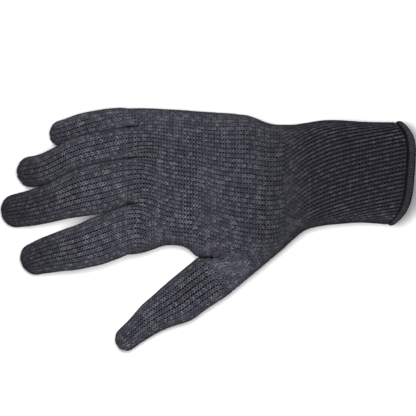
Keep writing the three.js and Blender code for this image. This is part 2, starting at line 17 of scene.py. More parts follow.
import bmesh
import bpy
import numpy as np
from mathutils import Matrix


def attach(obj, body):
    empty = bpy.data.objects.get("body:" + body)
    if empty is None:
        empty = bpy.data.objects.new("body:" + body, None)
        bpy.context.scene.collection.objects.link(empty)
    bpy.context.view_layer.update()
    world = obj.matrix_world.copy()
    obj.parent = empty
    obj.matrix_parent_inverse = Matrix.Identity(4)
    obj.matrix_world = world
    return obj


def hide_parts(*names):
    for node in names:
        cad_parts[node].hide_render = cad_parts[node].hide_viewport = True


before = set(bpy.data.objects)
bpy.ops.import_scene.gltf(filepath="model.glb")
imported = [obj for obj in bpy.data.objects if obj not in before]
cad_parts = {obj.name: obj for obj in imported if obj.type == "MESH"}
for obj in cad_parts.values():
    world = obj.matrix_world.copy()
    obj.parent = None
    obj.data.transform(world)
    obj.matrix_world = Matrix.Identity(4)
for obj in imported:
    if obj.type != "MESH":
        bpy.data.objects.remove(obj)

log = logging.getLogger("glove")

MM = 0.001
WRIST_X = 48.297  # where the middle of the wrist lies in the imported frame
WRIST_Y = 34.545
FINE = 96  # steps of the curve that a section is measured along
MIDDLE_STEPS = 60  # places at which the middle of a tube is measured
SLOPE_RUN = 8.0  # length that the slope of a finger is measured over
EDGE_PASSES = 4  # rounds that settle where a slanting section meets the finger's side
WEB_SHARPNESS = 2.5  # how much steeper the valleys fall near their webs
COLLAR = 4.5  # stub of each tube that belongs to the hand
MERGED = 0.02  # points of a wall that lie nearer than this are one
LOWEST = 0.3  # how far the wall stays above the surface under the glove
SHORTEST_CELL = 0.4  # cells shorter than this hold no stitch

Amount = float | np.ndarray  # one number, or one for each point or column
Column = Callable[[float], float]
SectionAt = Callable[[float], "Section"]


class Face(Enum):
    """The two faces of the glove."""

    BACK = 1
    PALM = -1


class HandRow(NamedTuple):
    """A section of the hand, in shares of the palm's length, width and depth."""

    along: float
    little: float
    index: float
    top: float
    rest: float


class TubeRow(NamedTuple):
    """A section of a finger, in shares of its length, width and depth and the palm's depth."""

    along: float
    width: float
    depth: float
    lift: float
    spread: float


class CuffRow(NamedTuple):
    """A section of the cuff, in shares of its length, width and depth."""

    along: float
    little: float
    thumb: float
    top: float
    rest: float


class Tube(NamedTuple):
    """A finger or the thumb: its name, sections by distance, length and columns on a face."""

    name: str
    section_at: SectionAt
    length: float
    wales: int


class Section(NamedTuple):
    """A cross-section: its two side edges, the top's height and the underside's."""

    ends: np.ndarray
    top: float
    underside: float


HAND_ROWS = [
    HandRow(0, 0.365, -0.36, 0.93, -0.03),
    HandRow(0.14, 0.412, -0.46, 0.95, -0.035),
    HandRow(0.3, 0.438, -0.56, 0.98, -0.03),
    HandRow(0.55, 0.457, -0.588, 1.0, -0.015),
    HandRow(0.61, 0.463, -0.535, 1.01, 0.01),
    HandRow(0.66, 0.467, -0.51, 1.02, 0.04),
    HandRow(0.76, 0.473, -0.508, 1.03, 0.11),
    HandRow(0.87, 0.48, -0.532, 1.0, 0.2),
    HandRow(1, 0.487, -0.57, 0.93, 0.3),
]
LITTLE_ROWS = [
    TubeRow(0, 0.72, 1, 0.2, 0),
    TubeRow(0.3, 0.86, 1, 0.2, 0),
    TubeRow(0.6, 1, 0.97, 0.12, 0),
    TubeRow(0.8, 0.98, 0.92, 0.02, 0.12),
    TubeRow(1, 0.8, 0.8, -0.02, 0.42),
]
RING_ROWS = [
    TubeRow(0, 0.94, 1, 0.3, 0),
    TubeRow(0.35, 0.97, 1, 0.33, 0),
    TubeRow(0.6, 1, 0.98, 0.23, 0),
    TubeRow(0.8, 0.94, 0.94, 0.08, 0.05),
    TubeRow(0.92, 0.86, 0.88, 0, 0.18),
    TubeRow(1, 0.76, 0.8, -0.02, 0.25),
]
MIDDLE_ROWS = [
    TubeRow(0, 0.91, 1, 0.36, 0),
    TubeRow(0.2, 1, 1, 0.39, 0),
    TubeRow(0.32, 0.98, 0.98, 0.38, 0.02),
    TubeRow(0.46, 0.9, 0.93, 0.33, 0.02),
    TubeRow(0.6, 0.79, 0.87, 0.24, -0.02),
    TubeRow(0.75, 0.71, 0.81, 0.12, -0.03),
    TubeRow(0.9, 0.64, 0.76, 0, 0),
    TubeRow(1, 0.6, 0.72, -0.02, 0.02),
]
INDEX_ROWS = [
    TubeRow(0, 1, 1, 0.32, 0),
    TubeRow(0.14, 1, 1, 0.36, 0),
    TubeRow(0.3, 0.96, 0.98, 0.36, 0.05),
    TubeRow(0.48, 0.87, 0.92, 0.3, 0.17),
    TubeRow(0.66, 0.77, 0.86, 0.18, 0.24),
    TubeRow(0.85, 0.67, 0.8, 0.03, 0.33),
    TubeRow(1, 0.6, 0.74, -0.02, 0.46),
]
THUMB_ROWS = [
    TubeRow(0, 1, 1, 0.06, 0),
    TubeRow(0.2, 0.95, 0.98, 0.03, -0.005),
    TubeRow(0.36, 0.92, 0.94, 0, -0.02),
    TubeRow(0.52, 0.76, 0.88, -0.01, 0.015),
    TubeRow(0.63, 0.67, 0.84, -0.02, 0.033),
    TubeRow(0.8, 0.54, 0.76, -0.02, 0.003),
    TubeRow(1, 0.47, 0.68, -0.02, -0.03),
]
CUFF_ROWS = [
    CuffRow(0, 0.486, -0.715, 0.88, -0.02),
    CuffRow(0.09, 0.486, -0.625, 0.9, -0.02),
    CuffRow(0.2, 0.502, -0.535, 0.96, -0.02),
    CuffRow(0.35, 0.526, -0.494, 1, -0.02),
    CuffRow(0.5, 0.528, -0.476, 1, -0.02),
    CuffRow(0.75, 0.512, -0.462, 0.98, -0.02),
    CuffRow(1, 0.508, -0.478, 0.96, -0.02),
]


def clamp(value: float, low: float, high: float) -> float:
    """The value, held between low and high."""
    return max(low, min(high, value))


def lerp(a: Amount, b: Amount, share: Amount) -> Amount:
    """The place a share of the way from a to b."""
    return a + (b - a) * share


def ease(share: Amount) -> Amount:
    """A share that starts and ends gently."""
    t = np.clip(share, 0.0, 1.0)
    return t * t * (3 - 2 * t)


def smooth_column(rows: Sequence[NamedTuple], name: str) -> Column:
    """A smooth curve through one column of a table of sections.

    Args:
        rows: the table, in order of its column "along".
        name: the column.

    Returns:
        The column's value at a share of the length.
    """
    at = [row.along for row in rows]
    value = [getattr(row, name) for row in rows]
    last = len(rows) - 1
    slope = []
    for i in range(last + 1):
        before, after = max(i - 1, 0), min(i + 1, last)
        slope.append((value[after] - value[before]) / (at[after] - at[before]))

    def read(share: float) -> float:
        """Reads the curve between the two sections on either side of that share."""
        t = clamp(share, 0.0, 1.0)
        i = max(next(k for k, end in enumerate(at) if end >= t) - 1, 0)
        span = at[i + 1] - at[i]
        u = (t - at[i]) / span
        rise = value[i + 1] - value[i]
        bend = span * (slope[i] * (1 - u) - slope[i + 1] * u) + rise * (2 * u - 1)
        return value[i] + rise * u + u * (1 - u) * bend

    return read


def arch(start: np.ndarray, end: np.ndarray, height: float, curve: float) -> np.ndarray:
    """Half a section, from one side edge to the other, pressed flat at the surface.

    Args:
        start: the little finger's side edge.
        end: the thumb's side edge.
        height: the height of the crown, or of the underside.
        curve: 1 is an ellipse, less is squarer.

    Returns:
        The points of the curve.
    """
    turn = np.linspace(0.0, math.pi, FINE + 1)
    cos = np.cos(turn)
    share = (1 - np.sign(cos) * np.abs(cos) ** curve) / 2
    points = start + (end - start) * share[:, None]
    rise = height - (start[2] + end[2]) / 2
    risen = points[:, 2] + rise * np.clip(np.sin(turn), 0, 1) ** curve
    points[:, 2] = np.maximum(risen, 0.0)
    return points


def arc_lengths(points: np.ndarray) -> np.ndarray:
    """The length along a curve at each of its points."""
    steps = np.linalg.norm(np.diff(points, axis=0), axis=1)
    return np.concatenate([[0.0], np.cumsum(steps)])


def along_curve(points: np.ndarray, shares: np.ndarray) -> np.ndarray:
    """Points of a curve at shares of its length.

    Args:
        points: the curve.
        shares: where along it, from 0 to 1; shares past its ends stay on the ends.

    Returns:
        The points.
    """
    travelled = arc_lengths(points)
    target = np.clip(shares, 0, 1) * travelled[-1]
    return np.stack([np.interp(target, travelled, points[:, k]) for k in range(3)], axis=1)


def even(count: int) -> np.ndarray:
    """Even shares from 0 to 1, with that many steps."""
    return np.linspace(0.0, 1.0, count + 1)


def web_shares(distance: float, valley: float, nearness: np.ndarray) -> np.ndarray:
    """How far a web has opened into a valley, for each column of stitches.

    Args:
        distance: millimetres behind the web.
        valley: how far the valley runs back.
        nearness: 1 for a column at the web, where the valley is sharp, to 0 for one far away,
            where it fades in gently.

    Returns:
        For each column, 1 at the web to 0 where the valley ends.
    """
    share = clamp(1 - distance / valley, 0.0, 1.0)
    return lerp(ease(share), share**WEB_SHARPNESS, nearness)


def to_frame(points: np.ndarray) -> np.ndarray:
    """Turns (reach, across, height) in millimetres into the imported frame, in metres."""
    x = WRIST_X - points[..., 0]
    y = WRIST_Y + points[..., 1]
    return np.stack([x, y, points[..., 2]], axis=-1) * MM


@dataclass
class Finger:
    """One finger tube. It lies beside its neighbour, a little over or under it."""

    name: str
    length: float
    width: float
    depth: float
    wales: int  # columns of stitches on one face
    rows: Sequence[TubeRow]
    palm_length: float
    palm_depth: float
    valley: float
    neighbour: Finger | None = None
    side: int = 0  # 1 where it lies on its neighbour's little-finger side, -1 on the other
    root: float = 0.0  # place across the hand, for the finger that has no neighbour
    angle: float = math.radians(14.5)  # how far the fingers turn towards the thumb
    clearance: float = -0.9  # the fabric of two fingers that touch gives way a little
    most_rise: float = 0.6  # how far it may ride over its neighbour, as a share of their depth
    columns: dict[str, Column] = field(init=False)

    def __post_init__(self) -> None:
        """Reads the table's columns and the finger's run along the hand."""
        names = ("width", "depth", "lift", "spread")
        self.columns = {name: smooth_column(self.rows, name) for name in names}
        self.run = self.length * math.cos(self.angle)

    def read(self, name: str, reach: float) -> float:
        """A column of the table at that reach."""
        return self.columns[name]((reach - self.palm_length) / self.run)

    def half(self, reach: float) -> float:
        """Half the width."""
        return self.width * self.read("width", reach) / 2

    def underside(self, reach: float) -> float:
        """Height of the underside."""
        return self.palm_depth * self.read("lift", reach)

    def top(self, reach: float) -> float:
        """Height of the crown."""
        return self.underside(reach) + self.depth * self.read("depth", reach)

    def level(self, reach: float) -> float:
        """Height of the side edges."""
        return (self.top(reach) + self.underside(reach)) / 2

    def centre(self, reach: float) -> float:
        """Place of the middle across the hand.

        Args:
            reach: distance from the wrist towards the fingertips.

        Returns:
            The place, from its neighbour's where it has one.
        """
        spread = self.width * self.read("spread", reach)
        past = reach - self.palm_length
        if self.neighbour is None:
            return self.root - math.tan(self.angle) * past + spread
        beside = self.neighbour
        widths = self.half(reach) + beside.half(reach)
        depths = (self.depth + beside.depth) / 2
        rise = (self.level(reach) - beside.level(reach)) / depths
        rise = clamp(rise, -self.most_rise, self.most_rise)
        tuck = widths * (1 - math.sqrt(1 - rise**2)) * ease(past / self.valley)
        return beside.centre(reach) + self.side * (widths - tuck + spread)

    def edge(self, reach: float, side: int) -> float:
        """Side edge towards the little finger (+1) or the thumb (-1)."""
        air = self.clearance / 2 * ease((reach - self.palm_length) / COLLAR)
        return self.centre(reach) + side * (self.half(reach) - air)

    def section(self, distance: float, root_levels: tuple[float, float]) -> Section:
        """The section at a distance past the root, turning square to the finger.

        Args:
            distance: millimetres past the root, along the hand.
            root_levels: heights of the two webs beside it.

        Returns:
            The section.
        """
        reach = self.palm_length + distance
        centre = self.centre(reach)
        drift = self.centre(reach + SLOPE_RUN) - self.centre(reach - SLOPE_RUN)
        slope = drift / (2 * SLOPE_RUN)
        angle = -math.atan(slope) * ease(distance / self.width)
        settled = ease(distance / self.valley)
        ends = []
        for side, level in zip((1, -1), root_levels):
            half = self.half(reach)
            for _ in range(EDGE_PASSES):
                edge = self.edge(reach + side * half * math.sin(angle), side)
                half = side * (edge - centre) / math.cos(angle)
            out = side * half
            height = lerp(level, self.level(reach), settled)
            place = [reach + out * math.sin(angle), centre + out * math.cos(angle), height]
            ends.append(place)
        return Section(np.array(ends), self.top(reach), self.underside(reach))


@dataclass
class GloveForm:
    """The glove's outer surface, worked out from its sizes and tables of sections."""

    palm_length: float = 98.0  # wrist to the webs of the fingers
    palm_width: float = 88.0
    palm_depth: float = 36.0
    thumb_web: float = 54.0  # wrist to the web of the thumb
    web_valley: float = 24.0  # how far the valleys run back from the webs
    thumb_valley: float = 30.0  # the same behind the web of the thumb
    middle_root: float = -0.045  # the middle finger's place, as a share of the palm's width
    root_blend: float = 0.25  # share of the palm that leads over to the cuff, and to the fingers
    fan: float = 0.8  # share of the palm over which the columns of stitches fan out
    thumb_length: float = 74.0
    thumb_width: float = 31.0
    thumb_depth: float = 23.0
    thumb_angle: float = math.radians(35.5)
    cuff_length: float = 70.0
    cuff_width: float = 65.5
    cuff_depth: float = 38.0
    hem_bow: float = 8.5  # how far the middle of the mouth stands out past its sides
    hem_skew: float = 5.0  # how much further the little finger's side of the mouth reaches
    side_level: float = 0.42  # height of the side edges, as a share of the crown's
    finger_curve: float = 0.94  # fullness of the sections: 1 is an ellipse, less is squarer
    back_curve: float = 0.84
    palm_curve: float = 0.66
    thumb_wales: int = 11  # columns of stitches on one face of the thumb
    wrist_wales: int = 33  # columns on one face of the wrist and the cuff
    sweep: float = 16.0  # how far behind the webs the columns turn towards the fingers
    turned: float = 3.0  # columns that run out over the little finger's side at the wrist
    web_columns: float = 4.0  # columns on each side of a web that dip into its valley
    thumb_columns: float = 14.0  # the same beside the web of the thumb
    lean_run: float = 3.0  # length over which a column's lean into its finger is measured

    def __post_init__(self) -> None:
        """Makes the fingers, from the middle one outwards, and reads the tables."""
        self.fingers = self._fingers()
        self.wale_ends = np.cumsum([0, *(finger.wales for finger in self.fingers)])
        self.hand, self.thumb, self.cuff = (
            {name: smooth_column(rows, name) for name in rows[0]._fields[1:]}
            for rows in (HAND_ROWS, THUMB_ROWS, CUFF_ROWS)
        )
        self.web_at = self.thumb_web / self.palm_length
        self.root_edges = self._root_edges()
        self.thumb_root = self.thumb_section(0.0)
        self.at_webs = {face: self._shares_at_webs(face) for face in Face}
        self.leans = {face: self._leans_at_webs(face) for face in Face}
        self.nearness = self._nearness_to_webs()

    def _fingers(self) -> list[Finger]:
        """The fingers, from the little one on; the others stand beside the middle one."""
        shared = {
            "palm_length": self.palm_length,
            "palm_depth": self.palm_depth,
            "valley": self.web_valley,
        }
        middle = Finger(
            "middle_finger", length=83.5, width=32, depth=21, wales=12, rows=MIDDLE_ROWS,
            root=self.middle_root * self.palm_width, **shared,
        )
        ring = Finger(
            "ring_finger", length=72.5, width=21, depth=17.5, wales=9, rows=RING_ROWS,
            neighbour=middle, side=1, **shared,
        )
        little = Finger(
            "little_finger", length=51.5, width=16.5, depth=15.5, wales=8, rows=LITTLE_ROWS,
            neighbour=ring, side=1, **shared,
        )
        index = Finger(
            "index_finger", length=71, width=32, depth=20.5, wales=12, rows=INDEX_ROWS,
            neighbour=middle, side=-1, **shared,
        )
        return [little, ring, middle, index]

    def tubes(self) -> list[Tube]:
        """The fingers, from the little one on, and the thumb."""
        tubes = [
            Tube(finger.name, partial(self.finger_section, number), finger.run, finger.wales)
            for number, finger in enumerate(self.fingers)
        ]
        return [*tubes, Tube("thumb", self.thumb_section, self.thumb_length, self.thumb_wales)]

    def _root_edges(self) -> list[tuple[float, float]]:
        """The side edges of the finger roots, as (across, height), from the little finger on."""
        root = self.palm_length
        first, last = self.fingers[0], self.fingers[-1]
        edges = [(first.edge(root, 1), first.level(root))]
        for outer, finger in zip(self.fingers, self.fingers[1:]):
            edges.append((finger.edge(root, 1), (outer.level(root) + finger.level(root)) / 2))
        return [*edges, (last.edge(root, -1), last.level(root))]

    def _shares_at_webs(self, face: Face) -> np.ndarray:
        """Where the finger roots lie along the last curve of the hand."""
        points = self.hand_arch(self.hand_section(1.0), self.palm_length, face)
        webs = [self.share_across(points, across) for across, _ in self.root_edges[1:-1]]
        return np.array([0.0, *webs, 1.0])

    def _leans_at_webs(self, face: Face) -> np.ndarray:
        """How far each column leans towards the thumb as it enters its finger."""
        leans = []
        for number, finger in enumerate(self.fingers):
            shares = even(finger.wales)
            near = self.tube_face(self.finger_section(number, 0.0), face, shares)
            far = self.tube_face(self.finger_section(number, self.lean_run), face, shares)
            lean = (near[:, 1] - far[:, 1]) / (far[:, 0] - near[:, 0])
            leans.append(lean if number == len(self.fingers) - 1 else lean[:-1])
        return np.concatenate(leans)

    def _nearness_to_webs(self) -> np.ndarray:
        """How near each of the fingers' columns lies to a web: 1 at it, 0 at web_columns off."""
        columns = np.arange(self.wale_ends[-1] + 1)
        apart = np.abs(columns[:, None] - self.wale_ends[1:-1]).min(axis=1)
        return ease(1 - apart / self.web_columns)

    def finger_section(self, number: int, distance: float) -> Section:
        """The section of one finger at a distance past its root."""
        levels = (self.root_edges[number][1], self.root_edges[number + 1][1])
        return self.fingers[number].section(distance, levels)

    def thumb_section(self, distance: float) -> Section:
        """The thumb's section at a distance along it, square across it all the way."""
        share = distance / self.thumb_length
        way = np.array([math.cos(self.thumb_angle), -math.sin(self.thumb_angle), 0.0])
        beside = np.array([math.sin(self.thumb_angle), math.cos(self.thumb_angle), 0.0])
        half = self.thumb_width * self.thumb["width"](share) / 2
        underside = self.palm_depth * self.thumb["lift"](share)
        top = underside + self.thumb_depth * self.thumb["depth"](share)
        bend = self.thumb_width * (self.thumb["spread"](share) - self.thumb["width"](0.0) / 2)
        web_across = self.palm_width * self.hand["index"](self.web_at)
        web = np.array([self.thumb_web, web_across, (top + underside) / 2])
        centre = web + way * distance + beside * bend
        return Section(np.array([centre + beside * half, centre - beside * half]), top, underside)

    def tube_face(self, section: Section, face: Face, shares: np.ndarray) -> np.ndarray:
        """One face of a finger's section, at shares of its length."""
        height = section.top if face is Face.BACK else section.underside
        return along_curve(arch(*section.ends, height, self.finger_curve), shares)

    def cuff_section(self, share: float) -> dict[str, float]:
        """The cuff's section at a share of its length, before its mouth is bowed."""
        top = self.cuff_depth * self.cuff["top"](share)
        return {
            "little": self.cuff_width * self.cuff["little"](share),
            "thumb": self.cuff_width * self.cuff["thumb"](share),
            "top": top,
            "rest": self.cuff_depth * self.cuff["rest"](share),
            "level": self.side_level * top,
        }

    def hand_section(self, share: float) -> dict[str, float]:
        """The hand's section: it grows out of the cuff's and ends at the finger roots."""
        wrist = self.cuff_section(0.0)
        grown = ease(share / self.root_blend)
        closing = ease((share + self.root_blend - 1) / self.root_blend)
        little_end, index_end = self.root_edges[0], self.root_edges[-1]
        top = lerp(wrist["top"], self.palm_depth * self.hand["top"](share), grown)
        level = self.side_level * top
        little = lerp(wrist["little"], self.palm_width * self.hand["little"](share), grown)
        index = self.palm_width * self.hand["index"](share)
        return {
            "little": lerp(little, little_end[0], closing),
            "index": lerp(index, index_end[0], closing),
            "top": top,
            "rest": lerp(wrist["rest"], self.palm_depth * self.hand["rest"](share), grown),
            "little_level": lerp(level, little_end[1], closing),
            "index_level": lerp(level, index_end[1], closing),
            "level": level,
        }

    def crown(self, section: dict[str, float], face: Face) -> tuple[float, float]:
        """Height and fullness of one face of the hand or the cuff."""
        if face is Face.BACK:
            return section["top"], self.back_curve
        return section["rest"], self.palm_curve

    def hand_arch(self, section: dict[str, float], reach: float, face: Face) -> np.ndarray:
        """One face of the hand's section."""
        little = np.array([reach, section["little"], section["little_level"]])
        index = np.array([reach, section["index"], section["index_level"]])
        return arch(little, index, *self.crown(section, face))

    def share_across(self, points: np.ndarray, across: float) -> float:
        """The share of a curve's length at which it passes a place across the hand."""
        travelled = arc_lengths(points)
        return float(np.interp(-across, -points[:, 1], travelled) / travelled[-1])

    def column_shares(self, share: float, face: Face) -> np.ndarray:
        """Where the fingers' columns of stitches lie round one face of the hand."""
        fanned = ease((1 - share) / self.fan)
        ends = lerp(self.at_webs[face], self.wale_ends / self.wale_ends[-1], fanned)
        columns = np.arange(self.wale_ends[-1] + 1)
        return np.interp(columns, self.wale_ends, ends)

    def wrist_shares(self) -> np.ndarray:
        """Where the same columns, and the thumb's, lie at the wrist: some run out at its sides."""
        count = self.wale_ends[-1] + self.thumb_wales
        return (np.arange(count + 1) - self.turned) / self.wrist_wales

    def hand_row(self, share: float, face: Face, straight: bool) -> np.ndarray:
        """One face of one row of the hand, from the little finger's side to the thumb's.

        Args:
            share: share of the palm's length from the wrist.
            face: back or palm.
            straight: the columns keep their width and run out at the sides of the wrist, as
                the stitches do, instead of closing up.

        Returns:
            The places of the column edges in that row.
        """
        reach = share * self.palm_length
        section = self.hand_section(share)
        columns = self.column_shares(share, face)
        if share <= self.web_at:
            row = self._row_with_thumb(share, face, section, columns)
            if not straight:
                return row
            travelled = arc_lengths(row)
            settled = ease(share / self.web_at)
            return along_curve(row, lerp(self.wrist_shares(), travelled / travelled[-1], settled))
        row = along_curve(self.hand_arch(section, reach, face), columns)
        opened = web_shares(self.palm_length - reach, self.web_valley, self.nearness)
        row = lerp(row, self._root_row(section, reach, face), opened[:, None])
        if not straight:
            return row
        row = self._swept(row, self.palm_length - reach, face)
        travelled = arc_lengths(row)
        return along_curve(row, travelled / travelled[-1] * self._drawn_in(share, section))

    def _drawn_in(self, share: float, section: dict[str, float]) -> float:
        """How much wider the hand would be if its index side ran straight past the thumb's web.

        The columns keep to that straight width and run out at the index side.

        Args:
            share: share of the palm's length from the wrist.
            section: the hand's section there.

        Returns:
            The straight width as a share of the real one.
        """
        ends = [self.hand_section(at) for at in (self.web_at, 1.0)]
        widths = [end["little"] - end["index"] for end in ends]
        straight = lerp(*widths, (share - self.web_at) / (1 - self.web_at))
        return straight / (section["little"] - section["index"])

    def _swept(self, row: np.ndarray, distance: float, face: Face) -> np.ndarray:
        """Moves a row's columns along it, so that they run into the fingers without a kink.

        Args:
            row: the places of the column edges.
            distance: how far the row lies behind the webs.
            face: back or palm.

        Returns:
            The moved places.
        """
        travelled = arc_lengths(row)
        fading = distance * math.exp(-((distance / self.sweep) ** 2))
        target = np.clip(travelled - self.leans[face] * fading, 0, travelled[-1])
        target[0], target[-1] = 0.0, travelled[-1]
        return np.stack([np.interp(target, travelled, row[:, k]) for k in range(3)], axis=1)

    def _root_row(self, section: dict[str, float], reach: float, face: Face) -> np.ndarray:
        """The four finger roots side by side, each with its own arch."""
        last = len(self.fingers) - 1
        row = []
        for i, finger in enumerate(self.fingers):
            ends = np.array([[reach, *self.root_edges[i]], [reach, *self.root_edges[i + 1]]])
            if i == 0:
                ends[0, 1:] = section["little"], section["little_level"]
            if i == last:
                ends[1, 1:] = section["index"], section["index_level"]
            root = Section(ends, finger.top(reach), finger.underside(reach))
            shares = even(finger.wales) if i == last else even(finger.wales)[:-1]
            row.append(self.tube_face(root, face, shares))
        return np.concatenate(row)

    def _row_with_thumb(
        self, share: float, face: Face, section: dict[str, float], columns: np.ndarray
    ) -> np.ndarray:
        """A row behind the web of the thumb, whose root runs back to the wrist.

        Near the web the hand and the thumb each have their own arch. Away from it the two
        run over into one arch.

        Args:
            share: share of the palm's length from the wrist.
            face: back or palm.
            section: the hand's section there.
            columns: where the fingers' columns lie round the hand.

        Returns:
            The places of the column edges, the hand's first and then the thumb's.
        """
        reach = share * self.palm_length
        back = share / self.web_at
        settled = ease(back)
        wrist = self.cuff_section(0.0)
        wrist_edge = np.array([0.0, wrist["thumb"], wrist["level"]])
        outer = lerp(wrist_edge, self.thumb_root.ends[1], back)
        little = np.array([reach, section["little"], section["little_level"]])
        web_level = lerp(section["level"], self.thumb_root.ends[0][2], back)
        web = np.array([reach, section["index"], web_level])
        root = Section(
            np.array([web, outer]),
            lerp(section["top"], self.thumb_root.top, settled),
            lerp(section["rest"], self.thumb_root.underside, settled),
        )
        steps = even(self.thumb_wales)[1:]
        thumb_part = self.tube_face(root, face, steps)
        height, curve = self.crown(section, face)
        hand_part = along_curve(arch(little, web, height, curve), columns)
        separate = np.concatenate([hand_part, thumb_part])

        if face is Face.BACK:
            height = (height + wrist["top"]) / 2
        whole = arch(little, np.array([reach, outer[1], outer[2]]), height, curve)
        past = (section["index"] - whole[:, 1]) / (section["index"] - outer[1])
        whole[:, 0] += (outer[0] - reach) * ease(past)
        at_web = self.share_across(whole, section["index"])
        closed = len(columns) / (len(columns) + self.thumb_wales)
        hand_share = lerp(closed, at_web, settled)
        shares = np.concatenate([columns * hand_share, lerp(hand_share, 1.0, steps)])
        from_web = np.abs(np.arange(len(shares)) - (len(columns) - 1))
        near = np.clip(1 - from_web / self.thumb_columns, 0, 1)
        apart = ease(1 - (self.thumb_web - reach) / self.thumb_valley)
        mixed = lerp(settled, apart, near)
        return lerp(along_curve(whole, shares), separate, mixed[:, None])

    def cuff_ring(self, share: float, turns: np.ndarray) -> np.ndarray:
        """A ring of the cuff, with the bow of the mouth fading out towards the wrist.

        Args:
            share: share of the cuff's length from the wrist.
            turns: places round the ring: 0 to 1 over the back, from the little finger's side,
                and 1 to 2 back under the palm.

        Returns:
            The points.
        """
        section = self.cuff_section(share)
        reach = -share * self.cuff_length
        little = np.array([reach, section["little"], section["level"]])
        thumb = np.array([reach, section["thumb"], section["level"]])
        over = along_curve(arch(little, thumb, section["top"], self.back_curve), turns)
        under = along_curve(arch(thumb, little, section["rest"], self.palm_curve), turns - 1)
        ring = np.where((turns <= 1)[:, None], over, under)
        place = (section["little"] - ring[:, 1]) / (section["little"] - section["thumb"])
        bowed = self.hem_bow * (1 - (2 * place - 1) ** 4) - self.hem_skew * place
        ring[:, 0] -= bowed * share**2
        return ring


@dataclass(frozen=True)
class Stitch:
    """One knitted stitch: two legs of yarn that spread like a V, in a cell one wide and long.

    Each leg is a spindle. foot, waist and head are its places across the cell from the middle
    outwards, and girth is its radius in shares of the cell's width.
    """

    name: str
    foot: float
    waist: float
    head: float
    girth: float
    thick: float = 0.44  # radius of the yarn in millimetres, square to the fabric
    overlap: float = 0.17  # how far a leg reaches under its neighbours, in shares of the cell
    start: float = -0.62  # where a leg comes up from under the row before
    start_in: float = 0.8  # its place across there, as a share of the foot's
    start_depth: float = 1.5  # depth of the legs' two ends, in radii of the yarn
    end_depth: float = 2.2
    sides: int = 5

    def mesh(self) -> bpy.types.Mesh:
        """Builds the pair of legs, with the crown of the yarn at height 0."""
        points, faces = [], []
        stations = [  # place along, place across, share of the girth, and how far it dips
            (-0.5, self.foot, 0.92, 0.1),
            (-0.05, self.waist, 1.0, 0.0),
            (0.34, self.head, 0.95, 0.1),
        ]
        below, under = -self.thick * self.start_depth, -self.thick * self.end_depth
        for side in (-1, 1):
            first = len(points)
            points.append((side * self.foot * self.start_in, self.start - self.overlap, below))
            for y, x, girth, dip in stations:
                for k in range(self.sides):
                    turn = 2 * math.pi * k / self.sides + math.pi / 2
                    dx = math.cos(turn) * self.girth * girth
                    dz = math.sin(turn) * self.thick * girth
                    points.append((side * x + dx, y, dz - self.thick + dip * under))
            points.append((side * self.head, 0.5 + self.overlap, under))
            faces += spindle_faces(first, len(stations), self.sides)
        return mesh_from(self.name, np.array(points) * (1, 1, MM), faces)


@dataclass(frozen=True)
class PurlBump:
    """The back of a stitch, in the channel between two ribs: a short bow of yarn across it."""

    name: str
    reach: float = 0.46  # half its width, in shares of the cell
    shoulder: float = 0.24  # where it is full, on either side of the middle
    drop: float = 0.12  # how far its ends hang back along the cell
    rise: float = 0.05  # how far its middle stands forward
    girth: float = 0.3
    fullness: float = 0.85
    thick: float = 0.36
    end_depth: float = 2.4  # in radii of the yarn
    sides: int = 4

    def mesh(self) -> bpy.types.Mesh:
        """Builds the bow, with its crown at height 0."""
        under = -self.thick * self.end_depth
        points = [(-self.reach, -self.drop, under)]
        for x in (-self.shoulder, self.shoulder):
            for k in range(self.sides):
                turn = 2 * math.pi * k / self.sides
                dy = math.cos(turn) * self.girth * self.fullness
                dz = math.sin(turn) * self.thick * self.fullness
                points.append((x, self.rise + dy, dz - self.thick))
        points.append((self.reach, -self.drop, under))
        return mesh_from(self.name, np.array(points) * (1, 1, MM), spindle_faces(0, 2, self.sides))


@dataclass(frozen=True)
class HemWrap:
    """One wrap of the overlocked hem: a bow of yarn over the roll, leaning along it."""

    name: str
    half_length: float = 2.25
    half_thick: float = 1.15
    yarn: float = 0.34  # its radius
    flat: float = 1.15  # how much wider than high the yarn is pressed
    lean: float = 0.9
    wrapped: float = math.radians(150)  # how far it turns round the roll, each way
    sides: int = 5
    steps: int = 9

    def mesh(self) -> bpy.types.Mesh:
        """Builds the bow round the roll's middle, which is its origin."""
        points = []
        shares = np.linspace(-1.0, 1.0, self.steps)
        for number, share in enumerate(shares):
            turn = self.wrapped * share
            cos, sin = math.cos(turn), math.sin(turn)
            middle = np.array([self.lean * share, self.half_length * cos, -self.half_thick * sin])
            out = np.array([0.0, self.half_thick * cos, -self.half_length * sin])
            out /= np.linalg.norm(out)
            if number in (0, self.steps - 1):
                points.append(middle)
                continue
            for k in range(self.sides):
                around = 2 * math.pi * k / self.sides
                aside = np.array([math.cos(around) * self.yarn * self.flat, 0.0, 0.0])
                points.append(middle + aside + out * math.sin(around) * self.yarn)
        faces = spindle_faces(0, self.steps - 2, self.sides)
        return mesh_from(self.name, np.array(points) * MM, faces)


def spindle_faces(first: int, rings: int, sides: int) -> list[tuple[int, ...]]:
    """Faces of a closed spindle: a point, rings of points, and a point.

    Args:
        first: number of its first point.
        rings: how many rings it has.
        sides: points of a ring.

    Returns:
        The corners of each face.
    """
    last = first + 1 + rings * sides
    faces = []
    for k in range(sides):
        following = (k + 1) % sides
        faces.append((first, first + 1 + following, first + 1 + k))
        for r in range(rings - 1):
            low, high = first + 1 + r * sides, first + 1 + (r + 1) * sides
            faces.append((low + k, low + following, high + following, high + k))
        end = last - sides
        faces.append((last, end + k, end + following))
    return faces


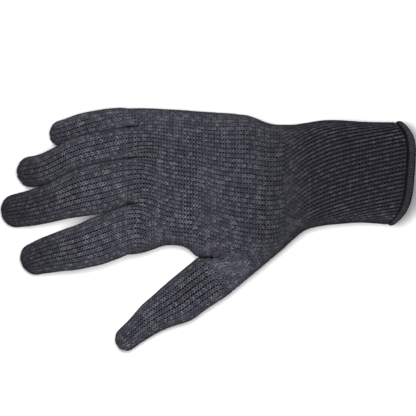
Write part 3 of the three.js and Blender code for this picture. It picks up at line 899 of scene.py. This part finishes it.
def mesh_from(name: str, points: np.ndarray, faces: Sequence[Sequence[int]]) -> bpy.types.Mesh:
    """A smooth mesh whose faces point outwards.

    Args:
        name: the mesh's name.
        points: its places, in metres.
        faces: the corners of each face.

    Returns:
        The mesh.
    """
    mesh = bpy.data.meshes.new(name)
    mesh.from_pydata([tuple(p) for p in points], [], [tuple(f) for f in faces])
    work = bmesh.new()
    work.from_mesh(mesh)
    bmesh.ops.recalc_face_normals(work, faces=work.faces)
    work.to_mesh(mesh)
    work.free()
    mesh.shade_smooth()
    return mesh


def placed(name: str, data: bpy.types.ID) -> bpy.types.Object:
    """Makes an object for a mesh, lamp or camera and links it into the scene."""
    item = bpy.data.objects.new(name, data)
    bpy.context.scene.collection.objects.link(item)
    return item


def settled_mesh(piece: bpy.types.Object) -> bpy.types.Mesh:
    """The mesh of a piece with its modifiers applied."""
    graph = bpy.context.evaluated_depsgraph_get()
    return bpy.data.meshes.new_from_object(piece.evaluated_get(graph))


class Cells(NamedTuple):
    """The cells of the knit: a stitch fills each one."""

    centre: np.ndarray
    along: np.ndarray
    outward: np.ndarray
    size: np.ndarray


def cells_of(grid: np.ndarray, outwards: int, narrowest: float = 0.9) -> Cells:
    """The cells between rows and columns of places on the fabric.

    Args:
        grid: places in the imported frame, as rows of columns of points.
        outwards: 1 where the outside is on the back's side of the grid, -1 on the palm's.
        narrowest: cells under this width in millimetres are left out.

    Returns:
        The cells.
    """
    a, b = grid[:-1, :-1], grid[:-1, 1:]
    d, c = grid[1:, :-1], grid[1:, 1:]
    along = ((d - a) + (c - b)) / 2
    across = ((b - a) + (c - d)) / 2
    outward = np.cross(along, across) * outwards
    length = np.linalg.norm(along, axis=-1)
    width = np.linalg.norm(across, axis=-1)
    kept = (width > narrowest * MM) & (length > SHORTEST_CELL * MM)
    outward = outward[kept]
    outward /= np.linalg.norm(outward, axis=-1, keepdims=True)
    size = np.stack([width[kept], length[kept], np.ones(kept.sum())], axis=-1)
    centre = ((a + b + c + d) / 4)[kept]
    return Cells(centre, along[kept], outward, size)


def joined(parts: Sequence[Cells]) -> Cells:
    """Several fields of cells as one."""
    return Cells(*(np.concatenate(column) for column in zip(*parts)))


def add_node(
    tree: bpy.types.NodeTree, kind: str, settings: dict[str, object] | None = None, **inputs: object
) -> bpy.types.Node:
    """Adds a node, with its settings, and fills or joins its inputs.

    Args:
        tree: the node tree.
        kind: the node's type.
        settings: attributes of the node.
        inputs: values or output sockets, by the input's name with underscores for spaces, or
            by its number as "i0".

    Returns:
        The node.
    """
    node = tree.nodes.new(kind)
    for name, value in (settings or {}).items():
        setattr(node, name, value)
    for name, value in inputs.items():
        numbered = name[0] == "i" and name[1:].isdigit()
        socket = node.inputs[int(name[1:])] if numbered else node.inputs[name.replace("_", " ")]
        if isinstance(value, bpy.types.NodeSocket):
            tree.links.new(value, socket)
        else:
            socket.default_value = value
    return node


@dataclass(frozen=True)
class KnitTree:
    """Geometry Nodes that set a stitch in each cell, a little uneven, as hand-flat knitting is."""

    turn_jitter: float = 0.06
    size_jitter: float = 0.07
    lift_jitter: float = 0.00008
    seed: int = 7

    def build(self) -> bpy.types.NodeTree:
        """Builds the tree, with named inputs for its sizes."""
        tree = bpy.data.node_groups.new("set_stitches", "GeometryNodeTree")
        face = tree.interface
        face.new_socket("Cells", in_out="INPUT", socket_type="NodeSocketGeometry")
        for name, kind in (
            ("Stitch", "NodeSocketObject"),
            ("Yarn", "NodeSocketMaterial"),
            ("Turn Jitter", "NodeSocketFloat"),
            ("Size Jitter", "NodeSocketFloat"),
            ("Lift Jitter", "NodeSocketFloat"),
            ("Seed", "NodeSocketInt"),
        ):
            face.new_socket(name, in_out="INPUT", socket_type=kind)
        face.new_socket("Knit", in_out="OUTPUT", socket_type="NodeSocketGeometry")
        given = add_node(tree, "NodeGroupInput").outputs
        read = {}
        for name in ("along", "outward", "size"):
            vector = {"data_type": "FLOAT_VECTOR"}
            named = add_node(tree, "GeometryNodeInputNamedAttribute", vector, Name=name)
            read[name] = named.outputs["Attribute"]
        jitter = self._jitter(tree, given)

        facing = add_node(
            tree, "FunctionNodeAxesToRotation", {"primary_axis": "Z", "secondary_axis": "Y"},
            Primary_Axis=read["outward"], Secondary_Axis=read["along"],
        )
        spin = add_node(tree, "ShaderNodeCombineXYZ", Z=jitter["turn"])
        local = add_node(
            tree, "FunctionNodeRotateRotation", {"rotation_space": "LOCAL"},
            Rotation=facing.outputs[0], Rotate_By=spin.outputs[0],
        )
        scale = {"operation": "SCALE"}
        size, lift = (
            add_node(tree, "ShaderNodeVectorMath", scale, i0=read[name], Scale=jitter[amount])
            for name, amount in (("size", "size"), ("outward", "lift"))
        )
        moved = add_node(
            tree, "GeometryNodeSetPosition", Geometry=given["Cells"], Offset=lift.outputs[0]
        )
        shape = add_node(tree, "GeometryNodeObjectInfo", Object=given["Stitch"])
        set_in = add_node(
            tree, "GeometryNodeInstanceOnPoints", Points=moved.outputs[0],
            Instance=shape.outputs["Geometry"], Rotation=local.outputs[0], Scale=size.outputs[0],
        )
        shaded = add_node(
            tree, "GeometryNodeStoreNamedAttribute", {"domain": "INSTANCE", "data_type": "FLOAT"},
            Geometry=set_in.outputs[0], Name="shade", Value=jitter["shade"],
        )
        real = add_node(tree, "GeometryNodeRealizeInstances", Geometry=shaded.outputs[0])
        dressed = add_node(
            tree, "GeometryNodeSetMaterial", Geometry=real.outputs[0], Material=given["Yarn"]
        )
        add_node(tree, "NodeGroupOutput", i0=dressed.outputs[0])
        return tree

    def _jitter(
        self, tree: bpy.types.NodeTree, given: bpy.types.NodeOutputs
    ) -> dict[str, bpy.types.NodeSocket]:
        """Draws what differs from stitch to stitch.

        Args:
            tree: the node tree.
            given: its inputs.

        Returns:
            A random turn, size, lift and shade for each cell.
        """
        ends = {}
        for name, operation, first, second in (
            ("least turn", "MULTIPLY", given["Turn Jitter"], -1.0),
            ("least size", "SUBTRACT", 1.0, given["Size Jitter"]),
            ("most size", "ADD", 1.0, given["Size Jitter"]),
            ("least lift", "MULTIPLY", given["Lift Jitter"], -1.0),
        ):
            sum_up = add_node(tree, "ShaderNodeMath", {"operation": operation}, i0=first, i1=second)
            ends[name] = sum_up.outputs[0]
        ranges = {
            "turn": (ends["least turn"], given["Turn Jitter"]),
            "size": (ends["least size"], ends["most size"]),
            "lift": (ends["least lift"], 0.0),
            "shade": (0.0, 1.0),
        }
        drawn = {}
        for step, (name, (low, high)) in enumerate(ranges.items()):
            seed = add_node(
                tree, "ShaderNodeMath", {"operation": "ADD"}, i0=given["Seed"], i1=float(step)
            )
            # Inputs 2 and 3 and output 1 are the ones for a decimal number.
            number = add_node(
                tree, "FunctionNodeRandomValue", i2=low, i3=high, Seed=seed.outputs[0]
            )
            drawn[name] = number.outputs[1]
        return drawn

    def knit(
        self,
        tree: bpy.types.NodeTree,
        name: str,
        cells: Cells,
        stitch: bpy.types.Object,
        yarn: bpy.types.Material,
    ) -> bpy.types.Object:
        """Sets a stitch in each cell and returns the result as a plain mesh.

        Args:
            tree: the node tree that build() made.
            name: the piece's name.
            cells: where the stitches lie.
            stitch: the shape of one stitch.
            yarn: its material.

        Returns:
            The piece.
        """
        mesh = bpy.data.meshes.new(name + "_cells")
        mesh.from_pydata(cells.centre.tolist(), [], [])
        for attribute in ("along", "outward", "size"):
            layer = mesh.attributes.new(attribute, "FLOAT_VECTOR", "POINT")
            layer.data.foreach_set("vector", getattr(cells, attribute).astype(np.float32).ravel())
        # How squarely each cell faces straight up, towards the overhead light; the wool paints
        # shade where this is low.
        facing = mesh.attributes.new("facing", "FLOAT", "POINT")
        facing.data.foreach_set("value", np.abs(cells.outward[:, 2]).astype(np.float32))
        holder = placed(name + "_cells", mesh)
        modifier = holder.modifiers.new("knit", "NODES")
        modifier.node_group = tree
        values = {
            "Stitch": stitch,
            "Yarn": yarn,
            "Turn Jitter": self.turn_jitter,
            "Size Jitter": self.size_jitter,
            "Lift Jitter": self.lift_jitter,
            "Seed": self.seed,
        }
        for item in tree.interface.items_tree:
            if item.item_type == "SOCKET" and item.in_out == "INPUT" and item.name in values:
                modifier[item.identifier] = values[item.name]
        knitted = settled_mesh(holder)
        knitted.name = name
        for spare in ("along", "outward", "size"):
            if spare in knitted.attributes:
                knitted.attributes.remove(knitted.attributes[spare])
        holder.modifiers.remove(modifier)
        bpy.data.objects.remove(holder)
        knitted.shade_smooth()
        return placed(name, knitted)


def srgb(code: str) -> tuple[float, float, float, float]:
    """Turns an sRGB hex colour into linear values.

    Args:
        code: six hex digits.

    Returns:
        Red, green, blue and a full alpha.
    """
    parts = [int(code[i : i + 2], 16) / 255 for i in (0, 2, 4)]
    linear = [p / 12.92 if p <= 0.04045 else ((p + 0.055) / 1.055) ** 2.4 for p in parts]
    return (*linear, 1.0)


def blank_material(name: str) -> bpy.types.Material:
    """Makes a material whose node tree is empty."""
    material = bpy.data.materials.new(name)
    material.use_nodes = True
    material.node_tree.nodes.clear()
    return material


@dataclass(frozen=True)
class MerinoWool:
    """Dyed merino yarn, worsted-spun and knitted: a dry, matt thread with a faint halo.

    Fine crimped fibres scatter the light, so there is no gloss, only a soft pale sheen at
    grazing angles. The plies and fibres mottle the colour at about half a millimetre.
    """

    name: str
    deep: str
    mid: str
    pale: str
    fibre: float = 0.55  # millimetres, coarser than the real 0.02 so that it shows
    roughness: float = 0.93
    specular: float = 0.25
    sheen: float = 0.05
    bump: float = 0.35
    patches: float = 40.0  # size of the faint patches in the dye, in fibres
    painted_side_shade: float = 0.25  # painted shade at the sides and in the creases, where the fabric turns away from the overhead light
    painted_tip_shade: float = 0.4  # painted shade: the knit darkens towards the fingertips, where the light falls off
    painted_wrist_shade: float = 0.7  # painted shade: the knit darkens where the hand narrows into the cuff

    def build(self) -> bpy.types.Material:
        """Builds the material."""
        material = blank_material(self.name)
        tree = material.node_tree
        place = add_node(tree, "ShaderNodeTexCoord").outputs["Object"]
        scale = 1 / (self.fibre * MM)
        fibres = add_node(
            tree, "ShaderNodeTexNoise", Vector=place, Scale=scale, Detail=3.0, Roughness=0.65,
            Distortion=0.6,
        ).outputs["Fac"]
        ramp = add_node(tree, "ShaderNodeValToRGB", Fac=self._yarn_tone(tree, fibres))
        low, high = ramp.color_ramp.elements
        low.position, low.color = 0.25, srgb(self.deep)
        high.position, high.color = 0.85, srgb(self.pale)
        ramp.color_ramp.elements.new(0.55).color = srgb(self.mid)
        shade = self._painted_shade(tree, place, scale)
        colour = add_node(
            tree, "ShaderNodeVectorMath", {"operation": "SCALE"}, i0=ramp.outputs[0], Scale=shade
        )
        bump = add_node(
            tree, "ShaderNodeBump", Height=fibres, Strength=self.bump, Distance=self.fibre * MM
        )
        surface = add_node(
            tree, "ShaderNodeBsdfPrincipled", Base_Color=colour.outputs[0], Normal=bump.outputs[0],
            Roughness=self.roughness, Sheen_Weight=self.sheen, Sheen_Roughness=0.6,
            Sheen_Tint=srgb("aab0bc"), Specular_IOR_Level=self.specular,
        )
        add_node(tree, "ShaderNodeOutputMaterial", Surface=surface.outputs[0])
        return material

    def _yarn_tone(
        self, tree: bpy.types.NodeTree, fibres: bpy.types.NodeSocket
    ) -> bpy.types.NodeSocket:
        """The fibres' mottle, with each stitch a little lighter or darker as a whole."""
        settings = {"operation": "MULTIPLY_ADD", "use_clamp": True}
        shade = add_node(tree, "ShaderNodeAttribute", {"attribute_name": "shade"}).outputs["Fac"]
        mottled = add_node(tree, "ShaderNodeMath", settings, i0=fibres, i1=0.7, i2=0.1)
        tone = add_node(
            tree, "ShaderNodeMath", settings, i0=shade, i1=0.14, i2=mottled.outputs[0]
        )
        return tone.outputs[0]

    def _painted_shade(
        self, tree: bpy.types.NodeTree, place: bpy.types.NodeSocket, scale: float
    ) -> bpy.types.NodeSocket:
        """Painted shade by place: darker at the fingertips, where the hand narrows into the cuff,
        and at the sides, where the fabric turns away from the light; with faint patches in the dye.

        Args:
            tree: the material's node tree.
            place: the place on the glove.
            scale: the fibres' number in a metre.

        Returns:
            The share of the yarn's own colour.
        """
        reach = add_node(tree, "ShaderNodeSeparateXYZ", Vector=place).outputs["X"]
        facing = add_node(tree, "ShaderNodeAttribute", {"attribute_name": "facing"}).outputs["Fac"]
        patches = add_node(
            tree, "ShaderNodeTexNoise", Vector=place, Scale=scale / self.patches, Detail=2.0,
            Roughness=0.5,
        ).outputs["Fac"]
        shade = None
        # Painted shade at the fingertips, at the wrist and at the sides, then the faint patches in
        # the dye.
        for value, blend, start, end, at_start, at_end in (
            (reach, "SMOOTHSTEP", -0.132, -0.07, self.painted_tip_shade, 1.0),
            (reach, "SMOOTHSTEP", 0.012, 0.048, 1.0, self.painted_wrist_shade),
            (facing, "SMOOTHSTEP", 0.0, 0.85, self.painted_side_shade, 1.0),
            (patches, "LINEAR", 0.3, 0.7, 0.96, 1.04),
        ):
            step = add_node(
                tree, "ShaderNodeMapRange", {"interpolation_type": blend}, Value=value,
                From_Min=start, From_Max=end, To_Min=at_start, To_Max=at_end,
            ).outputs[0]
            if shade is None:
                shade = step
                continue
            times = {"operation": "MULTIPLY"}
            shade = add_node(tree, "ShaderNodeMath", times, i0=step, i1=shade).outputs[0]
        return shade


@dataclass(frozen=True)
class LoopGround:
    """The wool between and behind the stitches, painted near-black as the shade that the loops cast
    into the holes of the knit.
    """

    name: str
    deep: str
    pale: str
    pitch: float = 2.65  # millimetres between two columns of loops
    bump: float = 0.6
    relief: float = 0.5  # millimetres
    roughness: float = 0.95
    specular: float = 0.1

    def build(self) -> bpy.types.Material:
        """Builds the material."""
        material = blank_material(self.name)
        tree = material.node_tree
        place = add_node(tree, "ShaderNodeTexCoord").outputs["Object"]
        scale = 1 / (self.pitch * MM)
        loops = add_node(tree, "ShaderNodeTexVoronoi", Vector=place, Scale=scale)
        depth = loops.outputs["Distance"]
        colour = add_node(tree, "ShaderNodeValToRGB", Fac=depth)
        # Painted shade: darker away from the middle of each loop, towards the hollows between them.
        for element, code in zip(colour.color_ramp.elements, (self.pale, self.deep)):
            element.color = srgb(code)
        bump = add_node(
            tree, "ShaderNodeBump", {"invert": True}, Height=depth, Strength=self.bump,
            Distance=self.relief * MM,
        )
        surface = add_node(
            tree, "ShaderNodeBsdfPrincipled", Base_Color=colour.outputs[0],
            Normal=bump.outputs[0], Roughness=self.roughness, Specular_IOR_Level=self.specular,
        )
        add_node(tree, "ShaderNodeOutputMaterial", Surface=surface.outputs[0])
        return material


def wall_piece(
    name: str,
    grids: Sequence[tuple[np.ndarray, int]],
    material: bpy.types.Material,
    sink: float,
    wall: float,
) -> bpy.types.Object:
    """A wall of knit behind the stitches, made from grids of places on the outer surface.

    Args:
        name: the piece's name.
        grids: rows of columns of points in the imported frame, each with the side that faces out.
        material: its finish.
        sink: how far it lies under the outer surface, in millimetres.
        wall: its thickness, in millimetres.

    Returns:
        The piece.
    """
    work = bmesh.new()
    for grid, outwards in grids:
        corners = [[work.verts.new(p) for p in row] for row in grid]
        for near, far in zip(corners, corners[1:]):
            for a, b, c, d in zip(near, near[1:], far[1:], far):
                work.faces.new((a, d, c, b) if outwards > 0 else (a, b, c, d))
    bmesh.ops.remove_doubles(work, verts=work.verts, dist=MERGED * MM)
    bmesh.ops.dissolve_degenerate(work, edges=work.edges, dist=MERGED * MM)
    work.normal_update()
    for vertex in work.verts:
        vertex.co -= vertex.normal * sink * MM
        vertex.co.z = max(vertex.co.z, LOWEST * MM)
    mesh = bpy.data.meshes.new(name)
    work.to_mesh(mesh)
    work.free()
    mesh.materials.append(material)
    mesh.shade_smooth()
    piece = placed(name, mesh)
    solid = piece.modifiers.new("wall", "SOLIDIFY")
    solid.thickness = wall * MM
    solid.offset = -1
    walled = settled_mesh(piece)
    piece.modifiers.remove(solid)
    piece.data = walled
    return piece


@dataclass
class Workshop:
    """What every part of the glove shares: its form, yarns, stitches and the knitting tree."""

    course: float = 1.85  # millimetres from one row of stitches to the next
    seam_gap: float = 0.35
    sink: float = 1.0  # how far the walls lie under the crowns of the stitches
    wall: float = 0.7  # their thickness

    def __post_init__(self) -> None:
        """Makes the form, the finishes, the stitches and the tree."""
        self.form = GloveForm()
        self.knitter = KnitTree()
        self.tree = self.knitter.build()
        self.wool = MerinoWool("merino_wool_plain_knit", "14141b", "3c3c46", "a4a4ae").build()
        # The cuff's and the hem's yarns are darker than the hand's: partly a real, denser rib yarn,
        # partly painted shade where the light falls off towards the mouth. The purl yarn is
        # darkest, painted shade in the sunk channels between the ribs.
        self.rib_wool, self.purl_wool, self.hem_wool = (
            MerinoWool(f"merino_wool_{way}", *colours, painted_wrist_shade=1.0).build()
            for way, *colours in (
                ("rib_knit", "0f0f14", "292931", "7c7c85"),
                ("purl_knit", "0b0b0f", "16161b", "26262c"),
                ("overlocked", "15151a", "29292f", "47474f"),
            )
        )
        # Near-black walls under the stitches: painted shade in the holes of the knit.
        self.ground = LoopGround("merino_wool_loops_in_shade", "060608", "0e0e12").build()
        shapes = {
            "hand": Stitch("hand_stitch", foot=0.12, waist=0.145, head=0.375, girth=0.15),
            "finger": Stitch("finger_stitch", foot=0.13, waist=0.16, head=0.36, girth=0.16),
            "rib": Stitch("rib_stitch", foot=0.12, waist=0.22, head=0.3, girth=0.18),
            "purl": PurlBump("purl_bump"),
            "wrap": HemWrap("hem_wrap"),
        }
        self.stitches = {name: placed(shape.name, shape.mesh()) for name, shape in shapes.items()}

    def knit(
        self, name: str, parts: Sequence[Cells], stitch: str, yarn: bpy.types.Material, slot: str
    ) -> None:
        """Knits a field of stitches and ties it to the glove's body.

        Args:
            name: the piece's name.
            parts: its cells.
            stitch: which of the stitches fills them.
            yarn: their material.
            slot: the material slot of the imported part.
        """
        piece = self.knitter.knit(self.tree, name, joined(parts), self.stitches[stitch], yarn)
        self.tie(piece, slot)

    def tie(self, piece: bpy.types.Object, slot: str, *nodes: str) -> None:
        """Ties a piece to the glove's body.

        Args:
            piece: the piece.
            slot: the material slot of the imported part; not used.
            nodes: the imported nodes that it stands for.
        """
        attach(piece, "root")
        if nodes:
            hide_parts(*nodes)
        triangles = sum(len(p.vertices) - 2 for p in piece.data.polygons)
        log.info("%s: %d triangles", piece.name, triangles)

    def clear(self) -> None:
        """Removes the single stitches that the fields were made from."""
        for template in self.stitches.values():
            bpy.data.objects.remove(template)


def tube_sections(
    section_at: SectionAt, start: float, end: float, spacing: float, tip_rows: int
) -> list[Section]:
    """Sections of a tube at even spacing along its middle, then its rounded tip.

    Args:
        section_at: the section at a distance along the tube.
        start: distance of the first section.
        end: the tube's length, its tip included.
        spacing: millimetres between sections.
        tip_rows: sections over the rounded tip, where 0 gives as many as the spacing asks.

    Returns:
        The sections.
    """
    tip = section_at(end)
    end -= float(np.linalg.norm(tip.ends[0] - tip.ends[1])) / 2
    fine = np.linspace(start, end, MIDDLE_STEPS)
    middles = np.array([section_at(d).ends.mean(axis=0) for d in fine])
    travelled = arc_lengths(middles)
    count = max(2, round(travelled[-1] / spacing))
    distances = np.interp(even(count) * travelled[-1], travelled, fine)
    rows = [section_at(d) for d in distances]
    last = rows[-1]
    centre = last.ends.mean(axis=0)
    way = centre - section_at(end - SLOPE_RUN).ends.mean(axis=0)
    way /= np.linalg.norm(way)
    half = float(np.linalg.norm(last.ends[0] - centre))
    rows_over = tip_rows or max(3, round(half * math.pi / 2 / spacing))
    for i in range(1, rows_over + 1):
        turn = math.pi / 2 * i / rows_over
        shrink = 0.0 if i == rows_over else math.cos(turn)
        place = centre + way * half * math.sin(turn)
        place[2] = max(place[2], (last.top - last.underside) * shrink / 2)
        ends = place + (last.ends - centre) * shrink
        top = place[2] + (last.top - centre[2]) * shrink
        underside = place[2] - (centre[2] - last.underside) * shrink
        rows.append(Section(ends, top, underside))
    return rows


@dataclass
class KnitTube:
    """A finger or the thumb: a closed tube of plain knit."""

    name: str
    section_at: SectionAt
    length: float
    wales: int
    facets: int = 16  # of the wall, across one face
    wall_spacing: float = 3.0
    wall_tip_rows: int = 7
    thinned: int = 5  # rows at the tip that keep only every other column

    def build(self, shop: Workshop) -> None:
        """Makes the wall and its stitches."""
        form = shop.form
        rows = tube_sections(
            self.section_at, COLLAR, self.length, self.wall_spacing, self.wall_tip_rows
        )
        grids = []
        for face in Face:
            grid = np.array([form.tube_face(s, face, even(self.facets)) for s in rows])
            grids.append((to_frame(grid), face.value))
        wall = wall_piece(self.name + "_wall", grids, shop.ground, shop.sink, shop.wall)
        shop.tie(wall, "merino_knit", self.name)

        rows = tube_sections(self.section_at, 0.0, self.length, shop.course, 0)
        parts = []
        for face in Face:
            dense = np.array([form.tube_face(s, face, even(self.wales)) for s in rows])
            for field_rows in (dense[: -self.thinned + 1], dense[-self.thinned :, ::2]):
                parts.append(cells_of(to_frame(field_rows), face.value))
        shop.knit(self.name + "_stitches", parts, "finger", shop.wool, "merino_knit")


@dataclass
class KnitHand:
    """The hand between the wrist and the webs, with the roots of the fingers and the thumb."""

    name: str = "hand_body"
    wall_rows: int = 18  # of the wall, on each side of the thumb's web
    collar_rows: int = 3
    narrowest: tuple[float, float] = (1.2, 0.7)  # stitches behind the thumb's web and past it

    def build(self, shop: Workshop) -> None:
        """Makes the wall and the stitches of both faces."""
        form = shop.form
        grids = []
        for face in Face:
            fields = self.fields(form, face, False, (self.wall_rows, self.wall_rows))
            for tube in form.tubes():
                sections = [tube.section_at(d) for d in even(self.collar_rows) * COLLAR]
                columns = even(tube.wales)
                fields.append(np.array([form.tube_face(s, face, columns) for s in sections]))
            grids += [(to_frame(rows), face.value) for rows in fields]
        wall = wall_piece("hand_wall", grids, shop.ground, shop.sink, shop.wall)
        shop.tie(wall, "merino_knit", self.name)

        lengths = (form.thumb_web, form.palm_length - form.thumb_web)
        courses = tuple(round(length / shop.course) for length in lengths)
        for face in Face:
            parts = [
                cells_of(to_frame(rows), face.value, narrowest)
                for rows, narrowest in zip(self.fields(form, face, True, courses), self.narrowest)
            ]
            name = f"hand_{face.name.lower()}_stitches"
            shop.knit(name, parts, "hand", shop.wool, "merino_knit")

    def fields(
        self, form: GloveForm, face: Face, straight: bool, counts: tuple[int, int]
    ) -> list[np.ndarray]:
        """The places of one face, behind the web of the thumb and past it.

        Args:
            form: the glove's surface.
            face: back or palm.
            straight: whether the columns keep their width, as the stitches do.
            counts: rows of cells behind the web and past it.

        Returns:
            The two fields; the second has no columns of the thumb.
        """
        behind, past = even(counts[0]) * form.web_at, lerp(form.web_at, 1.0, even(counts[1]))
        first = form.wale_ends[-1] + 1
        return [
            np.array([form.hand_row(share, face, straight) for share in behind]),
            np.array([form.hand_row(share, face, straight)[:first] for share in past]),
        ]


@dataclass
class RibCuff:
    """The ribbed cuff: raised columns of plain stitches with purl columns sunk between them."""

    name: str = "rib_cuff"
    channel_depth: float = 0.75  # millimetres that a purl column lies under the ribs
    channel_start: float = 0.25  # share of the cuff over which the channels open
    wrist_share: float = 0.82  # how much of a rib's pitch its raised column takes at the wrist
    rib_share: float = 0.56  # and past the start of the channels
    spiral: float = 8.0  # columns that the ribs turn round the cuff, from wrist to mouth
    narrowest: tuple[float, float] = (0.5, 0.3)  # stitches of the ribs and of the channels
    wall_rings: int = 24
    wall_sink: float = 0.25  # how much deeper the wall lies than in the hand
    tucked: float = 1.6  # millimetres of the wall that reach into the hem

    def rib_edges(self, number: int, share: float) -> np.ndarray:
        """Edges of one raised column and its channel, which opens behind the wrist."""
        raised = lerp(self.wrist_share, self.rib_share, ease(share / self.channel_start))
        return number + np.array([0.0, raised, 1.0])

    def turns(self, form: GloveForm, share: float, places: np.ndarray) -> np.ndarray:
        """Places round the ring, in columns, as turns, with the spiral of the ribs."""
        return np.mod((places - self.spiral * share) / form.wrist_wales, 2.0)

    def build(self, shop: Workshop) -> None:
        """Makes the wall, the ribs and the channels between them."""
        form = shop.form
        count = 2 * form.wrist_wales
        shares = even(self.wall_rings) * (1 + self.tucked / form.cuff_length)
        rows = np.array([form.cuff_ring(s, even(2 * count) * 2) for s in shares])
        sink = shop.sink + self.wall_sink
        wall = wall_piece("cuff_wall", [(to_frame(rows), -1)], shop.ground, sink, shop.wall)
        shop.tie(wall, "merino_rib", self.name)

        courses = round(form.cuff_length / shop.course)
        ribs, channels = [], []
        for number in range(count):
            rows = []
            for share in even(courses):
                turned = self.turns(form, share, self.rib_edges(number, share))
                rows.append(form.cuff_ring(share, turned))
            grid = to_frame(np.array(rows))
            ribs.append(cells_of(grid[:, :2], -1, self.narrowest[0]))
            channels.append(self.sunk(cells_of(grid[:, 1:], -1, self.narrowest[1])))
        shop.knit("cuff_rib_stitches", ribs, "rib", shop.rib_wool, "merino_rib")
        shop.knit("cuff_channel_stitches", channels, "purl", shop.purl_wool, "merino_rib")

    def sunk(self, cells: Cells) -> Cells:
        """The cells of a channel, sunk between the ribs."""
        return cells._replace(centre=cells.centre - cells.outward * self.channel_depth * MM)


@dataclass
class OverlockedHem:
    """The hem: a roll round the mouth, wrapped in leaning bows of yarn."""

    name: str = "cuff_hem"
    length: float = 5.0
    thickness: float = 3.4
    pitch: float = 1.0  # millimetres from one wrap to the next
    wall: float = 1.7  # of the solid cuff, whose middle the hem follows
    fine: int = 128
    roll_height: float = 1.0  # half of it
    roll_length: float = 2.6  # half of it
    roll_shift: float = 0.15  # towards the fingers
    roll_wall: float = 0.3
    sides: int = 12

    def build(self, shop: Workshop) -> None:
        """Makes the roll and its wraps."""
        form = shop.form
        ring = form.cuff_ring(1.0, even(self.fine)[:-1] * 2)
        ring[:, 0] -= shop.seam_gap
        closed = np.concatenate([ring, ring[:1]])
        count = round(arc_lengths(closed)[-1] / self.pitch)
        ring = along_curve(closed, even(count)[:-1])
        beside = np.roll(ring, -1, axis=0) - np.roll(ring, 1, axis=0)
        beside /= np.linalg.norm(beside, axis=1, keepdims=True)
        out = np.cross(beside, np.array([1.0, 0.0, 0.0]))
        out /= np.linalg.norm(out, axis=1, keepdims=True)
        if (out[:, 2] * (ring[:, 2] - ring[:, 2].mean())).sum() < 0:
            out = -out
        middle = ring - out * self.wall / 2
        middle[:, 0] -= self.length / 2
        middle[:, 2] = np.maximum(middle[:, 2], self.thickness / 2)

        turn = np.linspace(0, 2 * math.pi, self.sides + 1)[:, None, None]
        around = middle + out * np.sin(turn) * self.roll_height
        around[..., 0] -= self.roll_shift + np.cos(turn)[..., 0] * self.roll_length
        closed = to_frame(np.concatenate([around, around[:, :1]], axis=1))
        # The roll wears the near-black ground: painted shade, which shows past the wraps as a dark
        # line round the mouth.
        roll = wall_piece("hem_roll", [(closed, 1)], shop.ground, 0.0, self.roll_wall)
        shop.tie(roll, "merino_hem", self.name)

        outward = to_frame(middle + out) - to_frame(middle)
        outward /= np.linalg.norm(outward, axis=1, keepdims=True)
        along = np.tile([1.0, 0.0, 0.0], (len(middle), 1))
        cells = Cells(to_frame(middle), along, outward, np.ones((len(middle), 3)))
        shop.knit("hem_wraps", [cells], "wrap", shop.hem_wool, "merino_hem")


@dataclass
class Studio:
    """A pale sweep of floor, soft lights and a camera straight above."""

    view_width: float = 0.26208  # metres across the photo's frame
    aim: tuple[float, float] = (0.00085, 0.01368)  # the middle of the frame on the floor
    camera_height: float = 2.0
    focus_height: float = 0.016
    sensor: float = 36.0
    floor_size: float = 3.0  # half of it
    daylight: float = 0.34

    def build(self) -> None:
        """Makes the floor, the lights, the world and the camera."""
        self.floor()
        self.camera()
        self.light("overhead_softbox", place=(-0.02, 0.05, 0.5), size=0.22, power=3.9)
        self.light("side_fill", place=(0.9, -0.5, 0.9), size=0.8, power=1.6)
        world = bpy.data.worlds.new("pale_studio")
        bpy.context.scene.world = world
        world.use_nodes = True
        background = world.node_tree.nodes["Background"]
        background.inputs["Color"].default_value = srgb("f6f6f8")
        background.inputs["Strength"].default_value = self.daylight
        bpy.context.scene.view_settings.view_transform = "Standard"

    def floor(self) -> None:
        """A plain pale floor under the glove."""
        size = self.floor_size
        mesh = bpy.data.meshes.new("floor")
        corners = [(-size, -size, 0), (size, -size, 0), (size, size, 0), (-size, size, 0)]
        mesh.from_pydata(corners, [], [(0, 1, 2, 3)])
        material = bpy.data.materials.new("pale_paper_sweep")
        material.use_nodes = True
        paper = material.node_tree.nodes["Principled BSDF"].inputs
        paper["Base Color"].default_value = srgb("f6f6f6")
        paper["Roughness"].default_value = 0.9
        paper["Specular IOR Level"].default_value = 0.0
        mesh.materials.append(material)
        placed("floor", mesh)

    def light(
        self, name: str, place: tuple[float, float, float], size: float, power: float
    ) -> None:
        """A square softbox that faces the glove.

        Args:
            name: the lamp's name.
            place: where it hangs, in metres.
            size: its side, in metres.
            power: its power in watts.
        """
        lamp = bpy.data.lights.new(name, "AREA")
        lamp.shape = "SQUARE"
        lamp.size = size
        lamp.energy = power
        holder = placed(name, lamp)
        holder.location = place
        holder.rotation_euler = (-holder.location).to_track_quat("-Z", "Y").to_euler()

    def camera(self) -> None:
        """A long lens straight above, framed so that a pixel of the photo is 0.63 mm."""
        lens = bpy.data.cameras.new("camera")
        lens.sensor_width = self.sensor
        lens.lens = self.sensor * (self.camera_height - self.focus_height) / self.view_width
        lens.clip_end = 10.0
        holder = placed("camera", lens)
        holder.location = (*self.aim, self.camera_height)
        bpy.context.scene.camera = holder


def main() -> None:
    """Builds the glove, part by part, then the studio."""
    logging.basicConfig(level=logging.INFO, format="%(name)s: %(message)s")
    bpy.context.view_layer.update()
    shop = Workshop()
    tubes = [KnitTube(*tube) for tube in shop.form.tubes()]
    for part in (*tubes, KnitHand(), RibCuff(), OverlockedHem()):
        part.build(shop)
    shop.clear()
    Studio().build()


if __name__ == "__main__":
    main()
